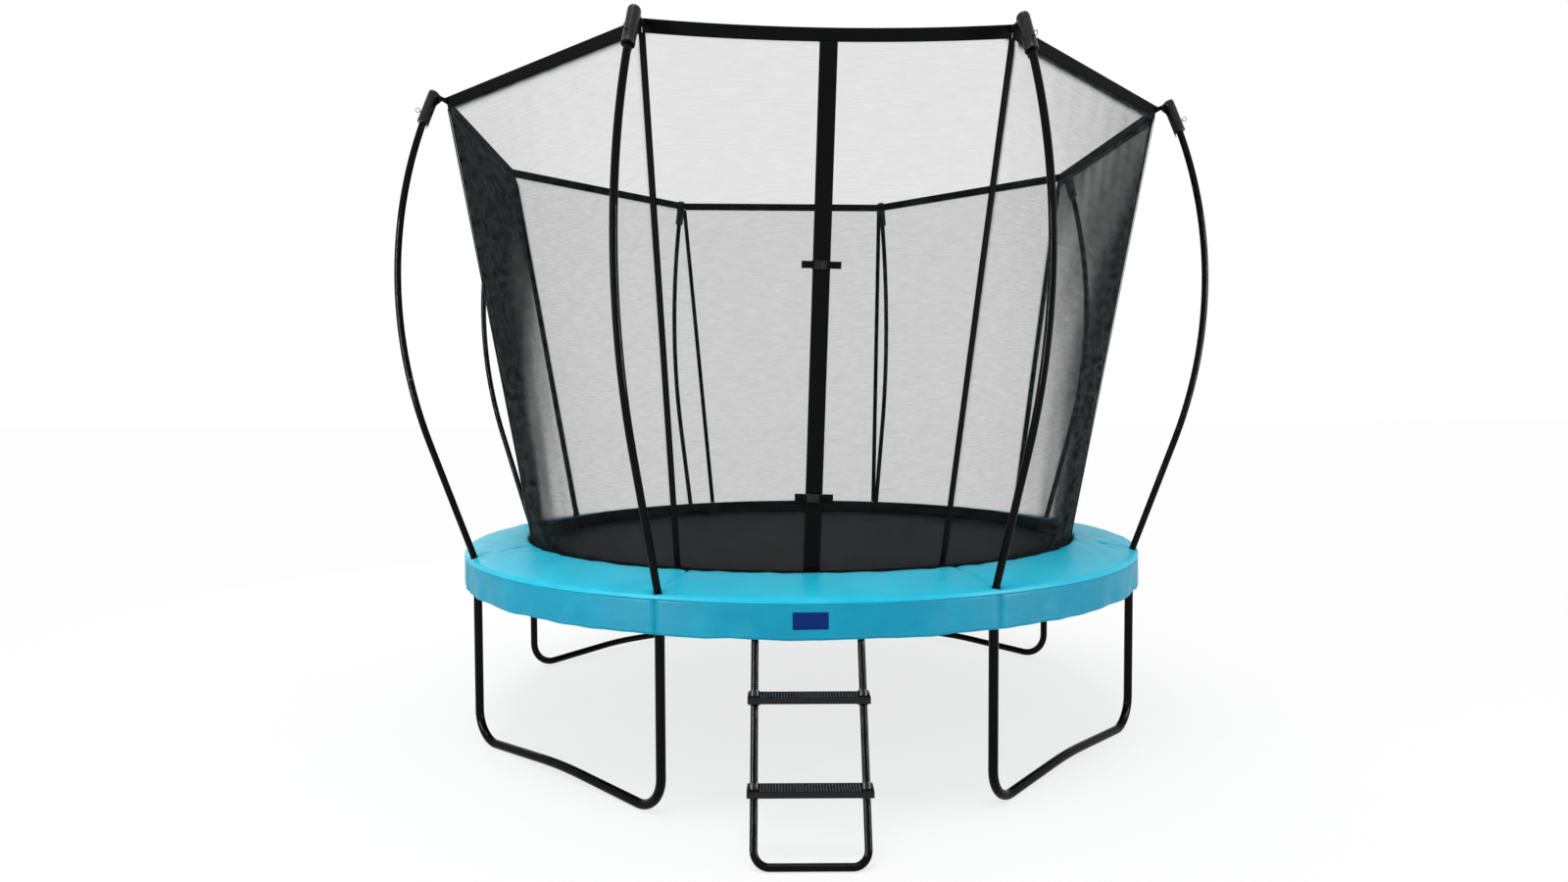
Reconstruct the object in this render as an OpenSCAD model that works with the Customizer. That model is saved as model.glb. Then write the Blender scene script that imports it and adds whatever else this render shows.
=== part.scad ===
// Round garden trampoline with a safety net on curved poles, a padded spring
// cover and a hook-on ladder. Millimetres, +Z up. The origin is on the ground
// under the centre of the frame ring. The door and the ladder face -Y.

/* [Frame] */
// Diameter of the frame ring, on the tube's centre line
frame_d = 3050; // [2600:10:3500]
// Height of the ring's centre line above the ground
frame_h = 755; // [700:5:850]
// Outer diameter of the ring tube
rail_d = 38; // [34:1:42]
// Wall of every steel tube
tube_wall = 1.5; // [1.2:0.1:2]
// Radial gap where one tube or cap slides over another
tube_fit = 0.3; // [0.2:0.05:0.5]
// Length of the sleeve of a tee along the ring
sleeve_len = 110; // [90:5:120]
// Wall of the sleeve of a tee
sleeve_wall = 3.2; // [2.5:0.1:4]
// Reach of the leg socket below the ring's centre line
socket_depth = 95; // [85:5:100]
// Wall of the leg socket
socket_wall = 2.5; // [2:0.1:3.5]
// Diameter of the leg screws
leg_screw_d = 5; // [4:0.5:6]

/* [Legs] */
// Outer diameter of the leg tubes and bases
leg_d = 35; // [32:1:38]
// Height of the joint between a leg tube and its base
leg_joint_h = 250; // [200:5:350]
// Radius of the bends of a base, on the tube's centre line
leg_bend_r = 120; // [90:5:150]
// Upward slope of a base's bar towards its middle, in degrees
bar_slope = 3; // [1:0.5:4]
// Half length of the rounded middle of a base's bar
bar_crown = 120; // [80:5:160]
// Length of the necks that plug one tube into the next
neck_len = 60; // [40:5:80]

/* [Poles] */
// Outer diameter of the pole tubes
pole_d = 27; // [25:1:30]
// Outward lean of a pole's straight foot, in degrees
pole_lean = 19.3; // [16:0.1:21]
// Length of the straight foot, from the ring's centre line
pole_straight = 547; // [450:1:600]
// Radius of the bend above the foot
pole_bend_r = 2013; // [1900:1:2200]
// Part of the bend that the lower section carries, in degrees
pole_joint_turn = 8.3; // [5:0.1:12]
// Inward tilt of a pole's tip, in degrees
pole_tip_tilt = 22.5; // [20:0.5:25]
// Length of the tee's spigot inside the pole
spigot_len = 140; // [90:5:170]

/* [Pole caps] */
// Length of the cap over a pole's tip
cap_len = 145; // [120:5:170]
// Outer diameter of the cap
cap_d = 46; // [42:1:52]
// Thickness of the cap's closed end above the tip
cap_end = 12; // [8:1:16]
// Thickness of the beak that holds the net's corner
beak_t = 8; // [6:1:12]
// Reach of the beak in from the cap's side
beak_reach = 12; // [9:1:13]
// Diameter of the rivet through the beak
rivet_d = 5; // [4:0.5:6]
// Outer diameter of the wire ring on a cap
ring_d = 20; // [17:1:26]
// Wire of the ring
ring_wire = 2.5; // [2:0.5:3]
// Height of the ring's lug above the cap's lower edge
ring_up = 42; // [30:2:60]
// Length of the tongue below the cap's lower edge
tongue_len = 14; // [10:1:20]

/* [Net] */
// Distance from a pole's tip in to the net's corner
corner_reach = 46; // [44:1:55]
// Distance from a pole's tip down to the net's top edge
corner_drop = 8; // [4:1:14]
// Thickness of the netting
net_t = 1.2; // [1:0.1:2]
// Height of the band along the top edge
band_h = 44; // [35:1:60]
// Thickness of the band, the bottom hem and other doubled cloth
band_t = 2.4; // [2:0.1:3]
// Sag of the top edge over the door
band_dip = 20; // [0:1:30]
// Width of the tapes at the net's corners
tape_w = 20; // [15:1:30]
// Height of the bottom hem above the mat
hem_h = 66; // [50:1:90]
// Turn of the net's foot against its top, in degrees
net_twist = -2.2; // [-3:0.1:0]

/* [Door] */
// Width of the flap over the zip
flap_w = 61; // [54:1:70]
// Width of the zip's closed teeth
zip_w = 6; // [5:0.5:8]
// Width of the net left out for each zip tape
zip_tape_w = 20; // [16:1:24]
// Height of the lower buckle above the ground
buckle_low_h = 1100; // [1000:10:1300]
// Height of the upper buckle above the ground
buckle_high_h = 1910; // [1600:10:2100]
// Length of a buckle strap across the door
strap_len = 137; // [130:1:160]
// Width of the buckle strap
strap_w = 25; // [22:1:28]

/* [Mat] */
// Distance from the ring's centre line to the mat's edge
mat_reach = 225; // [200:5:250]
// Height of the mat's top above the ring's centre line
mat_rise = 11; // [8:1:12]
// Thickness of the mat
mat_t = 1.5; // [1:0.1:2]
// Width of the webbing border sewn under the mat
border_w = 38; // [30:1:50]
// Thickness of the webbing border
border_t = 3; // [2:0.5:4]
// Springs along each rail
springs_per_rail = 8; // [6:1:9]
// Outer diameter of a spring's coil
coil_d = 15; // [12:1:16]
// Wire of the springs' hooks
hook_wire = 3; // [2.5:0.1:3.5]
// Wire of the rings at the mat's edge
v_wire = 3.5; // [3:0.1:4]
// Width of a ring at the mat's edge
v_width = 32; // [26:1:40]
// Length of a ring out from the mat's edge
v_depth = 24; // [20:1:30]

/* [Pad] */
// Overhang of the pad outside the ring's centre line
pad_overhang = 37.7; // [35:0.1:45]
// Thickness of the pad at its inner edge
pad_inner_t = 55; // [40:1:60]
// Thickness of the pad at its outer edge
pad_outer_t = 5; // [4:0.5:8]
// Rise of the pad's crown above a straight top
pad_crown = 5; // [2:0.5:10]
// Thickness of the pad's cover
cover_t = 1.2; // [1:0.1:2]
// Drop of the skirt below the ring's centre line
skirt_drop = 107; // [100:1:130]
// Thickness of the skirt
skirt_t = 3; // [2:0.5:3]
// Gap between neighbouring sections of pad, skirt and net
seam_gap = 1; // [0.6:0.1:2]
// Width of the patch on the skirt
patch_w = 120; // [80:1:150]
// Height of the patch on the skirt
patch_h = 57; // [40:1:70]
// Turn of the patch around the skirt from the front, in degrees
patch_turn = -2.7; // [-6:0.1:6]
// Height of the patch's middle above the skirt's lower edge
patch_up = 65; // [45:1:68]

/* [Ladder] */
// Turn of the ladder around the ring from the front, in degrees
ladder_turn = -3; // [-6:0.5:0]
// Distance between the centres of the ladder's rails
ladder_w = 356; // [330:1:380]
// Outer diameter of the ladder's tubes
ladder_d = 25; // [22:1:28]
// Distance of the ladder's foot outside the ring's centre line
foot_out = 313; // [290:1:350]
// Height of the lower step's middle
low_step_h = 213; // [180:1:250]
// Height of the upper step's middle
high_step_h = 472; // [430:1:500]
// Depth of a step from front to back
step_depth = 75; // [65:1:90]
// Thickness of a step
step_t = 20; // [16:1:26]
// Reach of a step past the rails' centres
step_reach = 22; // [20:1:28]
// Radius of the bends of the ladder's base
base_bend_r = 50; // [40:1:60]
// Thickness of the hooks that hang on the ring
hook_t = 3.5; // [3:0.1:4]
// Width of the hooks
hook_w = 12; // [10:1:14]

/* [Hidden] */
$fn = 72;
ring_fn = 360;
posts = 8;
post_step = 360 / posts;
frame_r = frame_d / 2;
// running gap between pieces that lie on each other
rest_gap = 0.3;
// hairline between a straight run and a bend of one welded tube
weld_gap = 0.05;

// a neck is this much narrower than its tube, to slide into the next one
neck_fit = 2 * (tube_wall + tube_fit);
base_wall = 2 * tube_wall + tube_fit;

// frame
sleeve_d = rail_d + 2 * (tube_fit + sleeve_wall);
sleeve_half = asin(sleeve_len / 2 / frame_r);
rail_end = asin(tube_fit * 4 / frame_r);
socket_d = leg_d + 2 * (tube_fit + socket_wall);
leg_top = frame_h - sleeve_d / 2 - 2;
leg_screw_h = frame_h - socket_depth * 0.68;
leg_screw_hole = leg_screw_d + 2 * rest_gap;
screw_grip = 3 * tube_wall;

// legs
leg_chord = frame_r * sin(post_step / 2);
leg_plane = frame_r * cos(post_step / 2);
leg_r = leg_d / 2;
crown_r = bar_crown / sin(bar_slope);
bar_start = leg_chord - leg_bend_r - leg_bend_r * sin(bar_slope);
bar_low = leg_r + leg_bend_r * (1 - cos(bar_slope));
bar_rise = (bar_start - bar_crown) * tan(bar_slope);
bar_len = (bar_start - bar_crown) / cos(bar_slope);

// poles
pole_seat = sleeve_d / 2 + rest_gap;
bend_x = frame_r + pole_straight * sin(pole_lean) - pole_bend_r * cos(pole_lean);
bend_z = frame_h + pole_straight * cos(pole_lean) + pole_bend_r * sin(pole_lean);
joint_tilt = pole_joint_turn - pole_lean;
neck_turn = turn(neck_len, pole_bend_r);
gap_turn = turn(rest_gap, pole_bend_r);
neck_d = pole_d - neck_fit;
tip_x = bend_x + pole_bend_r * cos(pole_tip_tilt);
tip_z = bend_z + pole_bend_r * sin(pole_tip_tilt);

// caps
cap_r = cap_d / 2;
cap_cover = cap_len - cap_end;
cap_turn = turn(cap_cover, pole_bend_r);
cap_tilt = pole_tip_tilt - cap_turn / 2;
beak_tip = cap_r + beak_reach;
rivet_x = beak_tip - rivet_d;
rivet_head_h = 1.6;
ring_mid_r = (ring_d - ring_wire) / 2;
lug_d = 3.2 * ring_wire;
webbing_t = 2;

// mat and springs
mat_r = frame_r - mat_reach;
mat_top = frame_h + mat_rise;
border_top = mat_top - mat_t - rest_gap;
spring_z = border_top - border_t / 2;
loop_rod = v_wire * 1.6;
loop_out_d = loop_rod + 2 * 1.3;
v_base_r = mat_r + loop_out_d / 2 + rest_gap;
v_tip_r = v_base_r + v_depth;
hook_hole_d = hook_wire + 1;
coil_start = v_tip_r + 16;
coil_end = frame_r - rail_d / 2 - 22;

// net
net_foot_r = mat_r - 32;
net_foot_z = mat_top + rest_gap;
net_top_r = tip_x - corner_reach;
net_top_z = tip_z - corner_drop;
net_h = net_top_z - net_foot_z;
hem_share = hem_h / net_h;
band_share = band_h / net_h;
gap_share = rest_gap / net_h;
door_width = 2 * net_foot_r * sin(post_step / 2);
seam_share = seam_gap / door_width;
zip_share = (zip_w / 2 + zip_tape_w) / door_width;
hem_top_r = net_foot_r + (net_top_r * cos(post_step / 2) - net_foot_r) * hem_share;
skin_in = net_t / 2 + rest_gap;

// pad
pad_in = hem_top_r + band_t + 4;
pad_out = frame_r + pad_overhang;
pad_low = max(spring_z + coil_d / 2, mat_top) + 2 * rest_gap + 0.5;
pad_lift_r = frame_r - rail_d / 2 - 14;
pad_lift = frame_h + rail_d / 2 + hook_t + 3.5;
pad_steps = 14;
foam_end = pad_lift_r - 4;
pole_hole_d = pole_d + 4;

// door
door_half = zip_w / 2 + 0.2;
slider_len = 26;
slider_w = 12;
zip_foot = hem_share + 14 / net_h;
zip_head = 1 - band_share - band_dip / net_h - 2 * gap_share;
flap_in = 4.5;
flap_t = 1.5;
flap_out = flap_in + flap_t;
strap_t = 2;
strap_in = flap_out + rest_gap;
buckle_floor = strap_in + strap_t + rest_gap;
buckle_len = 36;
buckle_h = strap_w + 5;
buckle_t = 11;
plug_len = 24;
prong_len = 22;
bar_w = 3.4;
bar_gap = 4;
socket_bar = buckle_len - 2 - bar_w;
plug_bar = plug_len + 2 + 2 * rest_gap - bar_w;
door_line = door_point(1) - door_point(0);
door_dir = door_line / norm(door_line);

// ladder
grip_x = sqrt(frame_r * frame_r - ladder_w * ladder_w / 4);
grip_in = rail_d / 2 + 1;
grip_out = grip_in + hook_t;
weld_depth = 0.8;
ladder_r = ladder_d / 2;
tube_x = grip_x + grip_in - ladder_r + weld_depth;
tube_top = frame_h - rail_d / 2 - 6;
elbow_z = frame_h - skirt_drop + 32;
elbow_r = 60;
foot_x = frame_r + foot_out;
foot_z = ladder_r;
elbow_out = foot_x - tube_x - elbow_r;
elbow_up = elbow_z - foot_z;
ladder_lean = atan(elbow_out / elbow_up) + asin(elbow_r / norm([elbow_out, elbow_up]));
rail_len = (elbow_up - elbow_r * sin(ladder_lean)) / cos(ladder_lean);
low_step_up = (low_step_h - foot_z) / cos(ladder_lean);
high_step_up = (high_step_h - foot_z) / cos(ladder_lean);
step_socket_d = ladder_d + 9;
step_socket_len = 46;
base_joint_up = low_step_up - step_socket_len / 2 - 6;
step_screw_d = 5;
step_screw_hole = step_screw_d + 2 * rest_gap;
step_screw_seat = ladder_r + 6.5;
base_neck = low_step_up - base_joint_up - step_screw_d;
rib_count = 34;
gusset_r = 16;

rails = [for (i = [1 : posts]) str("rail_", i)];
upper_poles = [for (i = [1 : posts]) str("pole_upper_", i)];
bases = ["leg_base_front_right", "leg_base_rear_right", "leg_base_rear_left",
         "leg_base_front_left"];

// angle of a post around the ring, from the front, and of a spring on rail i
function post_angle(i) = post_step * (i - 0.5);
function spring_angle(i, k) = post_angle(i) + post_step * (k - 0.5) / springs_per_rail;

// angle that a length takes on a circle of radius r
function turn(len, r) = len / r * 180 / PI;

// turns +X to point outwards at an angle around the ring
module at_angle(a) rotate([0, 0, a - 90]) children();

// sweeps a section, drawn in radius and height, around part of the ring
module ring_sweep(start, sweep) at_angle(start) rotate_extrude(angle = sweep, $fn = ring_fn) children();

module tube_section(d, wall = tube_wall) difference() {
    circle(d = d);
    circle(d = d - 2 * wall);
}

// closes a row of four-point loops into one solid; faces 0 and 2 of the loops
// split along matching diagonals, so that a thin twisted sheet keeps its thickness
module skin(loops) {
    last = len(loops) - 1;
    polyhedron(
        points = [for (l = loops) each l],
        faces = concat(
            [[0, 1, 2], [0, 2, 3]],
            [[4 * last, 4 * last + 2, 4 * last + 1], [4 * last, 4 * last + 3, 4 * last + 2]],
            [for (j = [0 : last - 1], i = [0 : 3])
                let (a = 4 * j + i, b = 4 * j + (i + 1) % 4) i == 2 ? [a, a + 4, b + 4] : [a, a + 4, b]],
            [for (j = [0 : last - 1], i = [0 : 3])
                let (a = 4 * j + i, b = 4 * j + (i + 1) % 4) i == 2 ? [a, b + 4, b] : [b, a + 4, b + 4]]));
}

// ---- frame and legs

module rail(i) {
    start = post_angle(i) + rail_end;
    sweep = post_step - 2 * rail_end;
    color("#26282a") translate([0, 0, frame_h]) difference() {
        ring_sweep(start, sweep) translate([frame_r, 0]) tube_section(rail_d);
        for (k = [1 : springs_per_rail])
            at_angle(spring_angle(i, k))
                translate([frame_r - rail_d, 0, spring_z - frame_h])
                    rotate([0, 90, 0]) cylinder(d = hook_hole_d, h = rail_d);
    }
}

module leg_screw_place(i)
    at_angle(post_angle(i)) translate([frame_r, 0, leg_screw_h]) rotate([0, 90, 0]) children();

module rail_tee(i) difference() {
    union() {
        translate([0, 0, frame_h])
            ring_sweep(post_angle(i) - sleeve_half, 2 * sleeve_half)
                translate([frame_r, 0]) circle(d = sleeve_d);
        at_angle(post_angle(i)) {
            translate([frame_r, 0, frame_h - socket_depth]) cylinder(d = socket_d, h = socket_depth);
            pole_foot() cylinder(d = neck_d, h = spigot_len);
        }
    }
    translate([0, 0, frame_h])
        ring_sweep(post_angle(i) - 2 * sleeve_half, 4 * sleeve_half)
            translate([frame_r, 0]) circle(d = rail_d + 2 * tube_fit);
    at_angle(post_angle(i))
        translate([frame_r, 0, frame_h - socket_depth - 1])
            cylinder(d = leg_d + 2 * tube_fit, h = leg_top + rest_gap - frame_h + socket_depth + 1);
    leg_screw_place(i) cylinder(d = leg_screw_hole, h = socket_d);
}

module rail_tees() color("#26282a") for (i = [1 : posts]) rail_tee(i);

module leg_tubes() color("#26282a") for (i = [1 : posts]) difference() {
    at_angle(post_angle(i)) translate([frame_r, 0, leg_joint_h + rest_gap])
        linear_extrude(leg_top - leg_joint_h - rest_gap) tube_section(leg_d);
    leg_screw_place(i) cylinder(d = leg_screw_hole, h = leg_d);
}

module leg_screws() color("silver") for (i = [1 : posts]) leg_screw_place(i) {
    translate([0, 0, leg_r - screw_grip])
        cylinder(d = leg_screw_d, h = socket_d / 2 - leg_r + screw_grip + 1);
    translate([0, 0, socket_d / 2 + rest_gap]) cylinder(d = 2 * leg_screw_d, h = 4, $fn = 6);
}

// a straight and a bent run of tube in the upright plane of a bar, with the
// plane's x along the bar and its y up
module run_line(len) rotate([0, 90, 0]) linear_extrude(len) children();
module run_bend(r, start, sweep) rotate([0, 0, start])
    rotate_extrude(angle = sweep, $fn = ring_fn) translate([r, 0]) children();

module leg_base(k) color("#26282a") at_angle(post_step * (2 * k - 1))
    translate([leg_plane, 0, 0]) rotate([90, 0, 90]) {
        bore = leg_d - neck_fit - 2 * tube_wall;
        for (m = [0, 1]) mirror([m, 0, 0]) {
            translate([leg_chord, leg_r + leg_bend_r + weld_gap, 0]) rotate([-90, 0, 0]) difference() {
                union() {
                    cylinder(d = leg_d, h = leg_joint_h - leg_r - leg_bend_r - weld_gap);
                    cylinder(d = leg_d - neck_fit, h = leg_joint_h - leg_r - leg_bend_r + neck_len);
                }
                translate([0, 0, -1]) cylinder(d = bore, h = leg_joint_h + neck_len);
            }
            translate([leg_chord - leg_bend_r, leg_r + leg_bend_r, 0])
                run_bend(leg_bend_r, -90 - bar_slope, 90 + bar_slope) tube_section(leg_d, base_wall);
            translate([bar_start, bar_low, 0]) rotate([0, 0, 180 - bar_slope])
                translate([weld_gap, 0, 0]) run_line(bar_len - 2 * weld_gap) tube_section(leg_d, base_wall);
        }
        translate([0, bar_low + bar_rise - crown_r * cos(bar_slope), 0])
            run_bend(crown_r, 90 - bar_slope, 2 * bar_slope) tube_section(leg_d, base_wall);
    }

// ---- poles

module pole_foot() translate([frame_r, 0, frame_h]) rotate([0, pole_lean, 0]) children();

// sweeps a section along the pole's bend from one tilt to another
module pole_bend(from, to)
    translate([bend_x, 0, bend_z]) rotate([90, 0, 0]) rotate([0, 0, from])
        rotate_extrude(angle = to - from, $fn = ring_fn) translate([pole_bend_r, 0]) children();

module pole_lower(i) at_angle(post_angle(i)) {
    swage = joint_tilt - neck_turn / 4;
    pole_foot() translate([0, 0, pole_seat])
        linear_extrude(pole_straight - pole_seat - weld_gap) tube_section(pole_d);
    pole_bend(-pole_lean, swage - gap_turn) tube_section(pole_d);
    difference() {
        union() {
            pole_bend(swage, joint_tilt) circle(d = pole_d);
            pole_bend(joint_tilt - neck_turn / 8, joint_tilt + neck_turn) circle(d = neck_d);
        }
        pole_bend(swage - neck_turn / 8, joint_tilt + 2 * neck_turn) circle(d = neck_d - 2 * tube_wall);
    }
}

module lower_poles() color("#202224") for (i = [1 : posts]) pole_lower(i);

module pole_upper(i) color("#202224") at_angle(post_angle(i))
    pole_bend(joint_tilt + gap_turn, pole_tip_tilt) tube_section(pole_d);

// a cap's own axis: through the pole's tip, along the covered stretch
module cap_place(i) at_angle(post_angle(i))
    translate([tip_x, 0, tip_z]) rotate([0, -cap_tilt, 0]) children();

module lug_place(i) cap_place(i)
    translate([cap_r + lug_d / 2 - 1, 0, ring_up - cap_cover]) children();

// a plate across the cap, in the upright plane through its axis
module beak(t) rotate([90, 0, 0]) linear_extrude(t, center = true)
    polygon([[0, cap_end], [5 - cap_r, cap_end], [-beak_tip, 2], [-beak_tip, -10], [5 - cap_r, -46], [0, -46]]);

module pole_cap(i) difference() {
    union() {
        cap_place(i) {
            translate([0, 0, -cap_cover]) cylinder(d = cap_d, h = cap_len - 5);
            translate([0, 0, cap_end - 5]) cylinder(d1 = cap_d, d2 = cap_d - 8, h = 5);
            beak(beak_t);
            translate([-cap_r + 1, -4, -cap_cover - tongue_len]) cube([3.5, 8, tongue_len + 5]);
        }
        lug_place(i) translate([0, 0, -ring_wire]) cylinder(d = lug_d, h = 2 * ring_wire);
    }
    at_angle(post_angle(i)) pole_bend(pole_tip_tilt - 2 * cap_turn, pole_tip_tilt + gap_turn)
        circle(d = pole_d + 2 * tube_fit);
    lug_place(i) translate([0, 0, -lug_d]) cylinder(d = ring_wire + 2 * rest_gap, h = 2 * lug_d);
    rivet_place(i) cylinder(d = rivet_d + 2 * rest_gap, h = cap_d, center = true);
}

module pole_caps() color("#17191a") for (i = [1 : posts]) pole_cap(i);

module rivet_place(i) cap_place(i) translate([-rivet_x, 0, -3]) rotate([90, 0, 0]) children();

module cap_rivets() color("silver") for (i = [1 : posts], m = [0, 1])
    rivet_place(i) mirror([0, 0, m]) {
        cylinder(d = rivet_d, h = beak_t / 2 + webbing_t + 3 * rest_gap);
        translate([0, 0, beak_t / 2 + webbing_t + 2 * rest_gap]) cylinder(d = 1.8 * rivet_d, h = rivet_head_h);
    }

module cap_rings() color("silver") for (i = [1 : posts]) lug_place(i)
    translate([ring_mid_r, 0, 0]) rotate([90, 0, 0])
        rotate_extrude() translate([ring_mid_r, 0]) circle(d = ring_wire);

// a loop of webbing from the net's corner that straddles the beak
module corner_webbing() color("#17191a") for (i = [1 : posts]) difference() {
    cap_place(i) translate([-beak_tip - rest_gap - webbing_t, 0, -3]) {
        slack = beak_t / 2 + rest_gap;
        for (m = [0, 1]) mirror([0, m, 0])
            translate([0, slack, -6]) cube([beak_reach + webbing_t - 2, webbing_t, 12]);
        translate([-8, -slack - webbing_t, -6]) cube([8 + webbing_t, 2 * (slack + webbing_t), 12]);
    }
    at_angle(post_angle(i)) translate([net_top_r + band_t / 2 + rest_gap - corner_reach, -corner_reach / 2, 0])
        cube([corner_reach, corner_reach, net_top_z + band_h]);
    rivet_place(i) cylinder(d = rivet_d + 2 * rest_gap, h = cap_d, center = true);
}

// ---- net

function on_ring(r, a, z) = [r * sin(a), -r * cos(a), z];
function mix(p, q, t) = p + (q - p) * t;

// point of the net between the corners at angles a and b: s runs across, h up
function net_point(a, b, s, h) = mix(
    on_ring(net_foot_r, mix(a, b, s) + net_twist, net_foot_z),
    mix(on_ring(net_top_r, a, net_top_z), on_ring(net_top_r, b, net_top_z), s), h);

// moves a point out by n and along the ring by w
function shift(p, w, n) = let (q = [p.x, p.y] / norm([p.x, p.y]))
    [p.x + q.x * n - q.y * w, p.y + q.y * n + q.x * w, p.z];

// share of the height at the top edge, which sags over the door
function top_share(s, dip) = 1 - dip * (1 - pow(2 * s - 1, 2)) / net_h;

// a patch of cloth between two shares across, from share low up to the top
// edge less a drop, and between two distances from the net's middle
module net_patch(i, s0, s1, low, drop, t, cols, dip = 0) {
    a = post_angle(i);
    skin([for (c = [0 : cols])
        let (s = mix(s0, s1, c / cols), low_h = low < 0 ? top_share(s, dip) + low : low,
             high_h = top_share(s, dip) - drop,
             p = net_point(a, a + post_step, s, low_h), q = net_point(a, a + post_step, s, high_h))
        [shift(p, 0, t / 2), shift(q, 0, t / 2), shift(q, 0, -t / 2), shift(p, 0, -t / 2)]]);
}

module net_panels() color("#3a3f40") for (i = [1 : posts - 1])
    net_patch(i, seam_share, 1 - seam_share, hem_share + gap_share, band_share + gap_share, net_t, 12);

module door_panel_left() color("#3a3f40")
    net_patch(0, seam_share, 0.5 - zip_share, hem_share + gap_share, band_share + gap_share,
              net_t, 12, band_dip);

module door_panel_right() color("#3a3f40")
    net_patch(0, 0.5 + zip_share, 1 - seam_share, hem_share + gap_share, band_share + gap_share,
              net_t, 12, band_dip);

module net_top_band() color("#17191a") for (i = [0 : posts - 1])
    net_patch(i, seam_share, 1 - seam_share, -band_share, 0, band_t, 8, i == 0 ? band_dip : 0);

// a straight strip of cloth from point p to point q
module lath(p, q, w0, w1, n0, n1)
    skin([for (c = [p, q]) [shift(c, w0, n0), shift(c, w0, n1), shift(c, w1, n1), shift(c, w1, n0)]]);

module net_corner_tapes() color("#17191a") for (i = [0 : posts - 1]) {
    a = post_angle(i);
    lath(net_point(a, a, 0, hem_share + gap_share), net_point(a, a, 0, 1 - band_share - 2 * gap_share),
         -tape_w / 2, tape_w / 2, skin_in, skin_in + band_t / 2);
}

module net_hem() color("#17191a") for (i = [0 : posts - 1])
    ring_sweep(post_angle(i) + net_twist + turn(seam_gap / 2, net_foot_r),
               post_step - turn(seam_gap, net_foot_r))
        polygon([[net_foot_r - band_t / 2, net_foot_z], [net_foot_r + band_t / 2, net_foot_z],
                 [hem_top_r + band_t / 2, net_foot_z + hem_h], [hem_top_r - band_t / 2, net_foot_z + hem_h]]);

// ---- door

function door_point(h) = net_point(-post_step / 2, post_step / 2, 0.5, h);
function door_share(z) = (z - net_foot_z) / net_h;

module zip_tapes() color("#17191a") for (m = [-1, 1])
    skin([for (h = [zip_foot, zip_head])
        let (p = door_point(h),
             q = net_point(-post_step / 2, post_step / 2, 0.5 + m * (zip_share - seam_share / 2), h),
             r = [shift(p, m * door_half, -net_t / 2), shift(p, m * door_half, net_t / 2),
                  shift(q, 0, net_t / 2), shift(q, 0, -net_t / 2)])
        m > 0 ? r : [r[3], r[2], r[1], r[0]]]);

module zip_teeth() color("#101112")
    lath(door_point(zip_foot), door_point(zip_head), -zip_w / 2, zip_w / 2, -1.4, 1.4);

module zip_flap() color("#101112") {
    p = door_point(hem_share + gap_share);
    q = door_point(zip_head);
    lath(p, q, -flap_w / 2, flap_w / 2, flap_in, flap_out);
    for (m = [-1, 1]) lath(p, q, m * flap_w / 2 - m - 1, m * flap_w / 2 - m + 1, skin_in, flap_out);
}

// frame on the door's middle line: +X outwards, +Y to the right, +Z up the zip
module door_place(h) {
    p = door_point(h);
    a = atan2(p.y, p.x);
    out = door_dir.x * cos(a) + door_dir.y * sin(a);
    side = door_dir.y * cos(a) - door_dir.x * sin(a);
    translate(p) rotate([0, 0, a]) rotate([0, atan2(out, door_dir.z), 0])
        rotate([-asin(side), 0, 0]) children();
}

module zip_slider() color("silver") door_place(zip_foot) {
    for (n = [-3.4, 1.6]) translate([n, -slider_w / 2, -9]) cube([1.8, slider_w, slider_len]);
    translate([-3.4, -1.8, -9]) cube([6.8, 3.6, 7]);
    translate([-5.4, -1.5, -4]) cube([2.5, 3, 8]);
    translate([-6.9, -3, -26]) cube([1.8, 6, 30]);
}

module buckle_place(z) door_place(door_share(z)) children();

// a strap's section from its sewn end at y = far to a loop round a bar at y = bar
module strap_path(bar, far) {
    step = flap_w / 2 + strap_t;
    loop_in = bar - rest_gap;
    loop_out = bar + bar_w + rest_gap;
    translate([0, 0, -strap_w / 2]) linear_extrude(strap_w) difference() {
        union() {
            polygon([[skin_in, far], [skin_in, step + 3], [strap_in, step - 1], [strap_in, loop_in],
                     [strap_in + strap_t, loop_in], [strap_in + strap_t, step],
                     [skin_in + strap_t, step + 4], [skin_in + strap_t, far]]);
            translate([strap_in, loop_in - strap_t])
                square([buckle_t + 2 * rest_gap + 2 * strap_t, loop_out - loop_in + 2 * strap_t]);
        }
        translate([strap_in + strap_t, loop_in]) square([buckle_t + 2 * rest_gap, loop_out - loop_in]);
    }
}

// a bar that a strap loops round, behind a slot, at the end of a buckle's half
module strap_slot(bar) translate([-1, bar - bar_gap, -strap_w / 2 - 0.5])
    cube([buckle_t + 2, bar_gap, strap_w + 1]);

module buckle_straps() color("#101112") for (z = [buckle_low_h, buckle_high_h])
    buckle_place(z) mirror([0, 1, 0]) strap_path(socket_bar, strap_len / 2);

module plug_strap(z) color("#101112") buckle_place(z) strap_path(plug_bar, strap_len / 2);

module buckle_sockets() color("#101112") for (z = [buckle_low_h, buckle_high_h])
    buckle_place(z) translate([buckle_floor, 0, 0]) difference() {
        translate([0, 2 - buckle_len, -buckle_h / 2]) cube([buckle_t, buckle_len, buckle_h]);
        translate([2.4, -prong_len - 2, 3.5 - buckle_h / 2])
            cube([buckle_t - 4.8, prong_len + 5, buckle_h - 7]);
        for (m = [-1, 1]) translate([2.4, -prong_len, m * (buckle_h / 2 - 1) - 3])
            cube([buckle_t - 4.8, 11, 6]);
        mirror([0, 1, 0]) strap_slot(socket_bar);
    }

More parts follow.
